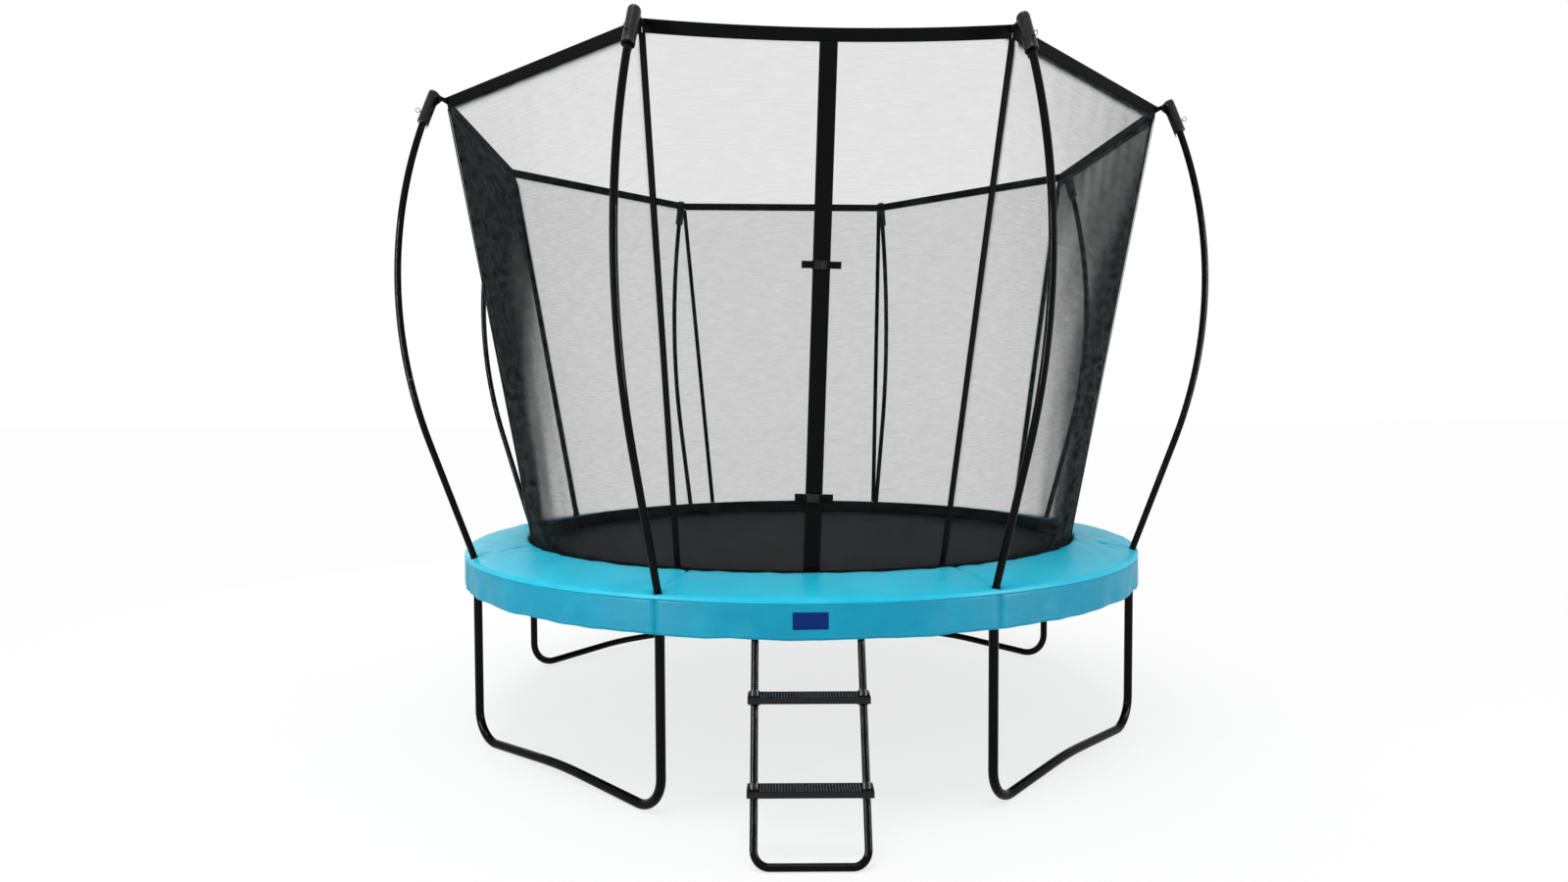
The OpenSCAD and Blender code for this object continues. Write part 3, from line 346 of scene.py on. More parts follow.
def joined(name, parts):
    # several plain meshes become one piece, keeping their maps and finishes
    mesh = bpy.data.meshes.new(name)
    shape = bmesh.new()
    finishes = []
    for part in parts:
        start = len(shape.faces)
        shape.from_mesh(part.data)
        shape.faces.ensure_lookup_table()
        index = {}
        for k, finish in enumerate(part.data.materials):
            if finish not in finishes:
                finishes.append(finish)
            index[k] = finishes.index(finish)
        for face in shape.faces[start:]:
            face.material_index = index.get(face.material_index, 0)
        bpy.data.objects.remove(part)
    shape.to_mesh(mesh)
    shape.free()
    for finish in finishes:
        mesh.materials.append(finish)
    piece = bpy.data.objects.new(name, mesh)
    scene.collection.objects.link(piece)
    return piece


def sheetPiece(name, columns, outward, thickness, material, uvs):
    # a grid of points, column by column, gets a second face and closed edges; outward gives each point's normal
    rows = len(columns[0])
    flatPoints = [p for column in columns for p in column]
    normals = [n for column in outward for n in column]
    count = len(flatPoints)
    verts = [p + n * thickness / 2 for p, n in zip(flatPoints, normals)]
    verts += [p - n * thickness / 2 for p, n in zip(flatPoints, normals)]
    faces = []
    for c in range(len(columns) - 1):
        for r in range(rows - 1):
            a, b = c * rows + r, (c + 1) * rows + r
            faces.append((a, b, b + 1, a + 1))
            faces.append((count + a, count + a + 1, count + b + 1, count + b))
    last = (len(columns) - 1) * rows
    for r in range(rows - 1):
        faces.append((r, r + 1, count + r + 1, count + r))
        faces.append((last + r, count + last + r, count + last + r + 1, last + r + 1))
    for c in range(len(columns) - 1):
        a, b = c * rows, (c + 1) * rows
        faces.append((a, count + a, count + b, b))
        faces.append((a + rows - 1, b + rows - 1, count + b + rows - 1, count + a + rows - 1))
    maps = [uv for column in uvs for uv in column]
    return place(name, verts, faces, material, uvs=maps + maps)


def tubeMesh(path, radius, sides, closed=False):
    # a round wire along a path: vertices and faces
    verts, faces = [], []
    count = len(path)
    last = None
    for i, p in enumerate(path):
        ahead = path[(i + 1) % count] if closed or i < count - 1 else p
        back = path[i - 1] if closed or i > 0 else p
        along = (ahead - back).normalized()
        if last is None:
            last = along.orthogonal().normalized()
        side = (last - along * last.dot(along)).normalized()
        last = side
        up = along.cross(side)
        for k in range(sides):
            a = 2 * math.pi * k / sides
            verts.append(p + side * (radius * math.cos(a)) + up * (radius * math.sin(a)))
    for i in range(count if closed else count - 1):
        for k in range(sides):
            a, b = i * sides + k, i * sides + (k + 1) % sides
            c, d = (i + 1) % count * sides + k, (i + 1) % count * sides + (k + 1) % sides
            faces.append((a, b, d, c))
    if not closed:
        faces.append(tuple(range(sides))[::-1])
        faces.append(tuple(range((count - 1) * sides, count * sides)))
    return verts, faces


def gather(name, shapes, material):
    verts, faces = [], []
    for v, f in shapes:
        start = len(verts)
        verts += v
        faces += [tuple(start + i for i in face) for face in f]
    return place(name, verts, faces, material)


def faceOut(piece):
    shape = bmesh.new()
    shape.from_mesh(piece.data)
    bmesh.ops.recalc_face_normals(shape, faces=shape.faces)
    shape.to_mesh(piece.data)
    shape.free()


def boxMap(piece):
    # a map in metres from the direction each face looks, for patterns on odd shapes
    mesh = piece.data
    layer = mesh.uv_layers.get("cloth") or mesh.uv_layers.new(name="cloth")
    for face in mesh.polygons:
        n = face.normal
        flatways = abs(n.z) > 0.7
        out = Vector((n.x, n.y, 0)).normalized() if not flatways else Vector((1, 0, 0))
        side = Vector((-out.y, out.x, 0))
        for i in face.loop_indices:
            p = mesh.vertices[mesh.loops[i].vertex_index].co
            layer.data[i].uv = (p.x, p.y) if flatways else (p.dot(side), p.z)
    return piece


def softened(node, name, material, width, steps=2):
    # a copy of a solid with its edges rounded over, where they turn by more than the first angle
    rounded, hard = math.radians(28), math.radians(50)
    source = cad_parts[node]
    mesh = source.data.copy()
    mesh.transform(source.matrix_world)
    shape = bmesh.new()
    shape.from_mesh(mesh)
    bmesh.ops.remove_doubles(shape, verts=shape.verts, dist=0.00001)
    bmesh.ops.dissolve_limit(shape, angle_limit=math.radians(1.0), verts=shape.verts, edges=shape.edges)
    shape.to_mesh(mesh)
    shape.free()
    mesh.name = name
    mesh.materials.clear()
    mesh.materials.append(material)
    piece = bpy.data.objects.new(name, mesh)
    scene.collection.objects.link(piece)
    if width:
        bevel = piece.modifiers.new("edge", "BEVEL")
        bevel.width = width
        bevel.segments = steps
        bevel.limit_method = "ANGLE"
        bevel.angle_limit = rounded
        bevel.harden_normals = False
        baked(piece)
    piece.data.polygons.foreach_set("use_smooth", [True] * len(piece.data.polygons))
    piece.data.set_sharp_from_angle(angle=hard)
    boxMap(piece)
    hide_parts(node)
    return piece


def weighBlend(piece, weight):
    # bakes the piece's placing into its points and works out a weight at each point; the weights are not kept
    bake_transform(piece)
    values = np.array([weight(v.co) for v in piece.data.vertices], np.float32)
    return piece


# repeats by Geometry Nodes


def newTree(name, inputs):
    tree = bpy.data.node_groups.new(name, "GeometryNodeTree")
    tree.interface.new_socket("Geometry", in_out="INPUT", socket_type="NodeSocketGeometry")
    for key, (kind, value) in inputs.items():
        socket = tree.interface.new_socket(key, in_out="INPUT", socket_type="NodeSocket" + kind)
        if value is not None:
            socket.default_value = value
    tree.interface.new_socket("Geometry", in_out="OUTPUT", socket_type="NodeSocketGeometry")
    return tree, tree.nodes.new("NodeGroupInput"), tree.nodes.new("NodeGroupOutput")


def run(tree, piece, values):
    modifier = piece.modifiers.new(tree.name, "NODES")
    modifier.node_group = tree
    for item in tree.interface.items_tree:
        if item.item_type == "SOCKET" and item.in_out == "INPUT" and item.name in values:
            modifier[item.identifier] = values[item.name]
    return baked(piece)


def makeStitchTree():
    # instances a small block along the edges of a guide line, turned to the line and to the guide's own outward side
    tree, start, end = newTree("stitchesAlongLine", {
        "Pitch": ("Float", 0.006), "Size": ("Vector", (0.004, 0.001, 0.0006)), "Alternate": ("Float", 0.0),
        "Finish": ("Material", None)})
    curve = addNode(tree, "GeometryNodeMeshToCurve", links={"Mesh": start.outputs["Geometry"]})
    spaced = addNode(tree, "GeometryNodeResampleCurve", {"mode": "LENGTH"},
                     {"Curve": curve, "Length": start.outputs["Pitch"]})
    block = addNode(tree, "GeometryNodeMeshCube", links={"Size": start.outputs["Size"]})
    tangent = addNode(tree, "GeometryNodeInputTangent")
    side = addNode(tree, "GeometryNodeInputNamedAttribute", {"data_type": "FLOAT_VECTOR"}, {"Name": "side"})
    turn = addNode(tree, "FunctionNodeAxesToRotation", {"primary_axis": "X", "secondary_axis": "Z"},
                   {"Primary Axis": tangent, "Secondary Axis": side})
    index = addNode(tree, "GeometryNodeInputIndex")
    odd = addNode(tree, "ShaderNodeMath", {"operation": "PINGPONG"}, {0: index, 1: 1.0})
    shift = addNode(tree, "ShaderNodeMath", {"operation": "MULTIPLY_ADD"}, {0: odd, 1: 2.0, 2: -1.0})
    amount = addNode(tree, "ShaderNodeMath", {"operation": "MULTIPLY"},
                     {0: shift, 1: start.outputs["Alternate"]})
    across = addNode(tree, "ShaderNodeVectorMath", {"operation": "CROSS_PRODUCT"},
                     {0: side, 1: tangent})
    offset = addNode(tree, "ShaderNodeVectorMath", {"operation": "SCALE"},
                     {0: across, "Scale": amount})
    moved = addNode(tree, "GeometryNodeSetPosition", links={
        "Geometry": spaced, "Offset": offset})
    copies = addNode(tree, "GeometryNodeInstanceOnPoints", links={
        "Points": moved, "Instance": block, "Rotation": turn})
    real = addNode(tree, "GeometryNodeRealizeInstances", links={"Geometry": copies})
    done = addNode(tree, "GeometryNodeSetMaterial", links={
        "Geometry": real, "Material": start.outputs["Finish"]})
    tree.links.new(done.outputs[0], end.inputs[0])
    return tree


stitchTree = makeStitchTree()


def stitches(name, lines, sides, pitch, size, material, alternate=0.0):
    # lines are lists of points, sides the outward direction at each
    verts, edges, normals = [], [], []
    for line, normal in zip(lines, sides):
        start = len(verts)
        verts += [tuple(p) for p in line]
        normals += list(normal)
        edges += [(start + i, start + i + 1) for i in range(len(line) - 1)]
    mesh = bpy.data.meshes.new(name)
    mesh.from_pydata(verts, edges, [])
    attribute = mesh.attributes.new("side", "FLOAT_VECTOR", "POINT")
    attribute.data.foreach_set("vector", [c for n in normals for c in n])
    piece = bpy.data.objects.new(name, mesh)
    scene.collection.objects.link(piece)
    run(stitchTree, piece, {"Pitch": pitch, "Size": size, "Alternate": alternate, "Finish": material})
    return boxMap(piece)

# net: a ruled cloth from the round foot at the mat to the straight top edges

net = dict(footRadius=1.268, footHeight=0.7663, twist=-2.2, topRadius=1.61969, topHeight=2.69893, hem=0.066,
           band=0.044, dip=0.020, thickness=0.0012, doubled=0.0022, zipHalf=0.023, seam=0.0005)
netHeight = net["topHeight"] - net["footHeight"]


def netPoint(i, s, h):
    a, b = postAngle(i), postAngle(i + 1)
    foot = onRing(net["footRadius"], a + (b - a) * s + net["twist"], net["footHeight"])
    left, right = (onRing(net["topRadius"], x, net["topHeight"]) for x in (a, b))
    return foot.lerp(left.lerp(right, s), h)


def outwardAt(p):
    return Vector((p.x, p.y, 0)).normalized()


def shifted(p, across, out):
    q = outwardAt(p)
    return p + q * out + Vector((-q.y, q.x, 0)) * across


def topShare(i, s):
    return 1 - (net["dip"] * (1 - (2 * s - 1) ** 2) / netHeight if i == 0 else 0)


def clothPanel(name, i, first, last, low, drop, thickness, material, columns=26, rows=44, swell=0.0):
    # between two shares across and two heights; swell lets the cloth belly and pucker a little
    points, outs, maps = [], [], []
    for c in range(columns + 1):
        s = first + (last - first) * c / columns
        bottom = topShare(i, s) + low if low < 0 else low
        top = topShare(i, s) - drop
        column, normal, uv = [], [], []
        for r in range(rows + 1):
            h = bottom + (top - bottom) * r / rows
            p = netPoint(i, s, h)
            pin = math.sin(math.pi * (s - first) / (last - first)) * math.sin(math.pi * r / rows)
            folds = 0.0022 * math.sin(37 * s + 2.1 * i) * math.exp(-6 * (h - bottom)) \
                + 0.0018 * math.sin(52 * s + i) * math.exp(-14 * (top - h)) \
                + 0.0020 * math.sin(9 * s + 5 * h + 1.7 * i) * math.sin(14 * h + 3 * s + i)
            out = outwardAt(p)
            column.append(p + out * (swell * (0.006 * pin + folds * min(1, 8 * pin))))
            normal.append(out)
            uv.append(((i + s) * 1.05, h * netHeight))
        points.append(column)
        outs.append(normal)
        maps.append(uv)
    return sheetPiece(name, points, outs, thickness, material, maps)


halfDoor = 2 * net["footRadius"] * math.sin(math.radians(ring["step"] / 2)) / 2
seamShare = net["seam"] / halfDoor
zipShare = net["zipHalf"] / (2 * halfDoor)
hemShare = net["hem"] / netHeight
bandShare = net["band"] / netHeight
tiny = 0.0003 / netHeight

sides = joined("netSides", [clothPanel("netSide", i, seamShare, 1 - seamShare, hemShare + tiny, bandShare + tiny,
                                       net["thickness"], netting, swell=1.0) for i in range(1, 8)])
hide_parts("net_panels")
doorLeft = clothPanel("netDoorLeft", 0, seamShare, 0.5 - zipShare, hemShare + tiny, bandShare + tiny,
                      net["thickness"], netting, 14, swell=1.0)
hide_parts("door_panel_left")
doorRight = clothPanel("netDoorRight", 0, 0.5 + zipShare, 1 - seamShare, hemShare + tiny, bandShare + tiny,
                       net["thickness"], netting, 14, swell=1.0)
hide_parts("door_panel_right")
band = joined("netTopBand", [clothPanel("bandPart", i, seamShare, 1 - seamShare, -bandShare, 0, net["doubled"],
                                        tape, 24, 4) for i in range(8)])
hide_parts("net_top_band")


def hemPart(i):
    points, outs, maps = [], [], []
    topRadius = net["footRadius"] + (net["topRadius"] * math.cos(math.radians(22.5)) - net["footRadius"]) * hemShare
    for c in range(33):
        angle = postAngle(i) + net["twist"] + 0.03 + (ring["step"] - 0.06) * c / 32
        column, normal, uv = [], [], []
        for r in range(5):
            t = r / 4
            ruffle = 0.0006 * math.sin(angle * 2.9) * math.sin(math.pi * t)
            p = onRing(net["footRadius"] + (topRadius - net["footRadius"]) * t + ruffle, angle,
                       net["footHeight"] + net["hem"] * t)
            column.append(p)
            normal.append(outwardAt(p))
            uv.append((math.radians(angle) * net["footRadius"], t * net["hem"]))
        points.append(column)
        outs.append(normal)
        maps.append(uv)
    return sheetPiece("hemPart", points, outs, net["doubled"], tape, maps)


hem = joined("netHem", [hemPart(i) for i in range(8)])
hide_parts("net_hem")


def lath(name, first, last, profile, material, rows=40):
    # a long strip from one point to another; profile is a loop of (across, out)
    verts, faces, uvs = [], [], []
    count = len(profile)
    for r in range(rows + 1):
        p = first.lerp(last, r / rows)
        for k, (w, n) in enumerate(profile):
            verts.append(shifted(p, w, n))
            uvs.append((w, (last - first).length * r / rows))
    for r in range(rows):
        for k in range(count):
            a, b = r * count + k, r * count + (k + 1) % count
            faces.append((a, b, b + count, a + count))
    faces.append(tuple(range(count))[::-1])
    faces.append(tuple(rows * count + k for k in range(count)))
    return place(name, verts, faces, material, uvs=uvs)


def cornerTape(i):
    low, high = netPoint(i, 0, hemShare + tiny), netPoint(i, 0, 1 - bandShare - 2 * tiny)
    profile = [(-0.0125, 0.0009), (0.0125, 0.0009), (0.0122, 0.0017),
               (0.004, 0.0021), (-0.004, 0.0021), (-0.0122, 0.0017)]
    return lath("tapePart", low, high, profile, tape, 24)


tapes = joined("netCornerTapes", [cornerTape(i) for i in range(8)])
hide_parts("net_corner_tapes")
for piece, size, area in ((sides, (7.6, 1.83), None), (doorLeft, (0.54, 1.83), None), (doorRight, (0.54, 1.83), None),
                          (band, (9.9, 0.044), None), (hem, (7.97, 0.066), None), (tapes, (0.16, 1.82), None)):
    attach(piece, "frame")
print("net hung")

# door: tapes, zip, flap, buckles

door = dict(foot=hemShare + 0.014 / netHeight, head=1 - bandShare - net["dip"] / netHeight - 2 * tiny,
            flapHalf=0.0305, flapIn=0.0045, pitch=0.0058)


def doorPoint(h):
    return netPoint(0, 0.5, h)


zipTapes = softened("zip_tapes", "zipTapes", tape, 0)
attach(zipTapes, "frame")

half, inner = door["flapHalf"], door["flapIn"]
flapLoop = [(-half, 0.0010), (-half + 0.0018, 0.0010), (-0.0270, inner - 0.0006), (-0.0240, inner),
            (-0.0120, inner + 0.0002), (0.0120, inner + 0.0002), (0.0240, inner), (0.0270, inner - 0.0006),
            (half - 0.0018, 0.0010), (half, 0.0010),
            (half, 0.0022), (half - 0.0012, 0.0036), (0.0276, inner + 0.0008), (0.0240, inner + 0.0014),
            (0.0120, inner + 0.0016), (0.0020, inner + 0.0016), (0, inner + 0.0013), (-0.0020, inner + 0.0016),
            (-0.0120, inner + 0.0016), (-0.0240, inner + 0.0014), (-0.0276, inner + 0.0008),
            (-half + 0.0012, 0.0036), (-half, 0.0022)]
flap = lath("zipFlap", doorPoint(hemShare + tiny), doorPoint(door["head"]), flapLoop, tape, 90)
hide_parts("zip_flap")
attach(flap, "frame")

zipLine = [doorPoint(door["foot"]).lerp(doorPoint(door["head"]), k / 60) for k in range(61)]
zipTeeth = stitches("zipTeeth", [zipLine], [[outwardAt(p) for p in zipLine]], 0.003,
                    (0.0021, 0.0042, 0.0024), plastic, 0.0008)
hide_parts("zip_teeth")
zipTop, zipBottom = zipLine[-1].z, zipLine[0].z
weighBlend(zipTeeth, lambda p: clamp((zipTop - p.z) / (zipTop - zipBottom)))

slider = softened("zip_slider", "zipSlider", zinc, 0.0005)
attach(slider, "zip_slider")

sewLines = []
for w, n in ((-0.0284, 0.0043), (0.0284, 0.0043)):
    sewLines.append([shifted(doorPoint(hemShare + (door["head"] - hemShare) * (k + 0.5) / 61), w, n)
                     for k in range(61)])
flapSewing = stitches("flapSewing", sewLines, [[outwardAt(p) for p in line] for line in sewLines],
                      door["pitch"], (0.0036, 0.0009, 0.0007), darkThread)
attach(flapSewing, "frame")

sockets = softened("buckle_sockets", "buckleSockets", plastic, 0.0012, 3)
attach(sockets, "frame")
straps = softened("buckle_straps", "buckleStraps", tape, 0.0005, 1)
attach(straps, "frame")
for level in ("upper", "lower"):
    plug = softened("buckle_plug_" + level, level + "Plug", plastic, 0.0010, 3)
    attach(plug, level + "_plug")
    strap = softened("plug_strap_" + level, level + "PlugStrap", tape, 0.0005, 1)
    lowX, highX = (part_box("plug_strap_" + level)[k][0] for k in (0, 1))
    weighBlend(strap, lambda p: clamp((highX - p.x) / (highX - lowX)))
print("door fitted")

# mat, rings and springs

mat = dict(radius=1.300, top=0.766, thickness=0.0015, sag=0.0012, rings=26, spokes=160)


def makeMat():
    # a taut disc: rings of points under and over, with faint tension ripples near the edge
    verts, uvs, faces = [], [], []
    levels = [mat["radius"] * math.sqrt(k / mat["rings"]) for k in range(1, mat["rings"] + 1)]
    for under in (0, 1):
        for r in levels:
            for k in range(mat["spokes"]):
                a = 2 * math.pi * k / mat["spokes"]
                ripple = 0.0005 * math.sin(32 * a) * smooth((r - 1.05) / 0.25) \
                    - mat["sag"] * (1 - (r / mat["radius"]) ** 2)
                z = mat["top"] - under * mat["thickness"] + min(0, ripple)
                verts.append((r * math.sin(a), -r * math.cos(a), z))
                uvs.append((verts[-1][0], verts[-1][1]))
        verts.append((0, 0, mat["top"] - under * mat["thickness"] - mat["sag"]))
        uvs.append((0, 0))
    count, spokes = len(verts) // 2, mat["spokes"]
    for under in (0, 1):
        base = under * count
        for j in range(len(levels) - 1):
            for k in range(spokes):
                a, b = base + j * spokes + k, base + j * spokes + (k + 1) % spokes
                face = (a, a + spokes, b + spokes, b)
                faces.append(face[::-1] if under else face)
        for k in range(spokes):
            face = (base + count - 1, base + k, base + (k + 1) % spokes)
            faces.append(face[::-1] if under else face)
    edge = (len(levels) - 1) * spokes
    for k in range(spokes):
        a, b = edge + k, edge + (k + 1) % spokes
        faces.append((a, count + a, count + b, b))
    return place("jumpMat", verts, faces, jumpCloth, uvs=uvs)


jumpMat = makeMat()
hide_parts("jump_mat")
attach(jumpMat, "mat")
border = softened("mat_border", "matBorder", tape, 0)
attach(border, "mat")

sewRings = [[onRing(r, 2 * k, mat["top"] + 0.0003) for k in range(181)] for r in (1.268, 1.292)]
matSewing = stitches("matSewing", sewRings, [[Vector((0, 0, 1))] * 181] * 2, 0.009,
                     (0.006, 0.0012, 0.0006), darkThread)
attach(matSewing, "mat")

spring = dict(height=0.7627, start=1.3444, end=1.4840, radius=0.0062, wire=0.0013, turns=36, tip=1.3290, hook=1.5150)


def makeSpringTree():
    # one close-wound coil with its two straight hooks, copied to every spring's place round the ring
    tree, start, end = newTree("springsRoundRing", {
        "Count": ("Int", 64), "Ring": ("Float", 1.414), "Height": ("Float", 0.7627), "Length": ("Float", 0.14),
        "Turns": ("Float", 36.0), "Coil Radius": ("Float", 0.0062), "Wire": ("Float", 0.0013),
        "Inner Hook": ("Float", 0.085), "Outer Hook": ("Float", 0.1), "First Angle": ("Float", 0.0),
        "Finish": ("Material", None)})
    give = start.outputs
    spiral = addNode(tree, "GeometryNodeCurveSpiral", links={
        "Resolution": 9, "Rotations": give["Turns"], "Start Radius": give["Coil Radius"],
        "End Radius": give["Coil Radius"], "Height": give["Length"]})
    section = addNode(tree, "GeometryNodeCurvePrimitiveCircle", links={"Resolution": 4, "Radius": give["Wire"]})
    wire = addNode(tree, "GeometryNodeCurveToMesh", links={
        "Curve": spiral, "Profile Curve": section, "Fill Caps": True})
    down = addNode(tree, "ShaderNodeMath", {"operation": "MULTIPLY"}, {0: give["Length"], 1: -0.5})
    centred = addNode(tree, "ShaderNodeCombineXYZ", links={"Z": down})
    coil = addNode(tree, "GeometryNodeTransform", links={"Geometry": wire, "Translation": centred})
    hooks = []
    for key, sign in (("Inner Hook", -1.0), ("Outer Hook", 1.0)):
        reach = addNode(tree, "ShaderNodeMath", {"operation": "MULTIPLY"}, {0: give[key], 1: sign})
        far = addNode(tree, "ShaderNodeCombineXYZ", links={"Z": reach})
        root = addNode(tree, "ShaderNodeMath", {"operation": "MULTIPLY"}, {0: give["Length"], 1: 0.49 * sign})
        near = addNode(tree, "ShaderNodeCombineXYZ", links={"Z": root})
        line = addNode(tree, "GeometryNodeCurvePrimitiveLine", links={"Start": near, "End": far})
        rod = addNode(tree, "GeometryNodeCurvePrimitiveCircle", links={"Resolution": 6, "Radius": give["Wire"]})
        hooks.append(addNode(tree, "GeometryNodeCurveToMesh", links={
            "Curve": line, "Profile Curve": rod, "Fill Caps": True}))
    whole = addNode(tree, "GeometryNodeJoinGeometry", links={0: coil})
    for hook in hooks:
        tree.links.new(hook.outputs[0], whole.inputs[0])
    lying = addNode(tree, "GeometryNodeTransform", links={
        "Geometry": whole, "Rotation": (0.0, math.pi / 2, 0.0)})
    places = addNode(tree, "GeometryNodeMeshLine", links={"Count": give["Count"], "Offset": (0.0, 0.0, 0.0)})
    index = addNode(tree, "GeometryNodeInputIndex")
    each = addNode(tree, "ShaderNodeMath", {"operation": "DIVIDE"}, {0: 2 * math.pi, 1: give["Count"]})
    angle = addNode(tree, "ShaderNodeMath", {"operation": "MULTIPLY_ADD"},
                    {0: index, 1: each, 2: give["First Angle"]})
    cosine = addNode(tree, "ShaderNodeMath", {"operation": "COSINE"}, {0: angle})
    sine = addNode(tree, "ShaderNodeMath", {"operation": "SINE"}, {0: angle})
    across = addNode(tree, "ShaderNodeMath", {"operation": "MULTIPLY"}, {0: cosine, 1: give["Ring"]})
    along = addNode(tree, "ShaderNodeMath", {"operation": "MULTIPLY"}, {0: sine, 1: give["Ring"]})
    spot = addNode(tree, "ShaderNodeCombineXYZ", links={"X": across, "Y": along, "Z": give["Height"]})
    spread = addNode(tree, "GeometryNodeSetPosition", links={"Geometry": places, "Position": spot})
    spin = addNode(tree, "ShaderNodeCombineXYZ", links={"Z": angle})
    copies = addNode(tree, "GeometryNodeInstanceOnPoints", links={
        "Points": spread, "Instance": lying, "Rotation": spin})
    real = addNode(tree, "GeometryNodeRealizeInstances", links={"Geometry": copies})
    done = addNode(tree, "GeometryNodeSetMaterial", links={"Geometry": real, "Material": give["Finish"]})
    tree.links.new(done.outputs[0], end.inputs[0])
    return tree


def makeSprings():
    mesh = bpy.data.meshes.new("coilSprings")
    piece = bpy.data.objects.new("coilSprings", mesh)
    scene.collection.objects.link(piece)
    middle = (spring["start"] + spring["end"]) / 2
    run(makeSpringTree(), piece, {
        "Ring": middle, "Height": spring["height"], "Length": spring["end"] - spring["start"],
        "Turns": float(spring["turns"]), "Coil Radius": spring["radius"], "Wire": spring["wire"],
        "Inner Hook": middle - spring["tip"], "Outer Hook": spring["hook"] - middle,
        "First Angle": math.radians(springAngle(1, 1) - 90), "Finish": zinc})
    piece.data.polygons.foreach_set("use_smooth", [True] * len(piece.data.polygons))
    return piece


springs = makeSprings()
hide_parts("springs")
weighBlend(springs,
           lambda p: clamp((spring["hook"] - math.hypot(p.x, p.y)) / (spring["hook"] - spring["tip"])))


def ringPath(angle):
    # a rounded triangle of wire: base in the mat's loop, point on the spring's hook
    corners = [(1.3044, -0.0142), (1.3044, 0.0142), (1.3262, 0.0024), (1.3262, -0.0024)]
    path = []
    for k, (x, y) in enumerate(corners):
        before, after = Vector(corners[k - 1]), Vector(corners[(k + 1) % 4])
        here = Vector((x, y))
        cut = 0.0036 if k < 2 else 0.0018
        a = here + (before - here).normalized() * cut
        b = here + (after - here).normalized() * cut
        for t in (0, 0.25, 0.5, 0.75, 1):
            path.append(a.lerp(here, t).lerp(here.lerp(b, t), t))
    out, side = onRing(1, angle, 0), onRing(1, angle + 90, 0)
    return [out * p.x + side * p.y + Vector((0, 0, spring["height"])) for p in path]


wireRings = gather("matRings", [tubeMesh(ringPath(springAngle(i, k)), 0.00172, 6, True)
                                for i in range(1, 9) for k in range(1, 9)], zinc)
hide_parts("mat_rings")
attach(wireRings, "mat")
print("mat and springs strung")

# pad: crowned foam sections under one cover, sewn together at the poles

pad = dict(inner=1.2822, outer=1.5627, innerTop=0.8263, outerTop=0.7860, crown=0.005,
           fold=0.7695, hole=0.0158, lean=19.3)


def padTop(r):
    t = (r - pad["inner"]) / (pad["outer"] - pad["inner"])
    return pad["innerTop"] + (pad["outerTop"] - pad["innerTop"]) * t + 4 * pad["crown"] * t * (1 - t)


def padProfile():
    # a closed loop of (radius, height), anticlockwise from the inner edge's underside
    loop = [(1.2850, 0.7716), (1.4860, 0.7716), (1.4895, 0.7735), (1.4915, 0.7795), (1.4945, 0.7814)]
    loop += [(1.4945 + 0.0038 * k, 0.7814) for k in range(1, 15)]
    loop += [(1.5528, 0.7806), (1.5562, 0.7785), (1.5588, 0.7750), (1.5598, 0.7710), (1.5602, pad["fold"])]
    loop += [(1.5626, pad["fold"] - 0.0002), (1.5632, 0.7725), (1.5628, 0.7770), (1.5612, 0.7815),
             (1.5582, 0.7855), (1.5540, 0.7885)]
    stops = [1.5495 - 0.0042 * k for k in range(12)] + [1.495 - 0.0125 * k for k in range(1, 17)]
    loop += [(r, padTop(r) + 0.0012 * smooth((1.56 - r) / 0.03)) for r in stops]
    loop += [(1.2890, 0.8228), (1.2852, 0.8185), (1.2828, 0.8120), (1.2815, 0.8020),
             (1.2812, 0.7900), (1.2818, 0.7790), (1.2830, 0.7735)]
    return loop


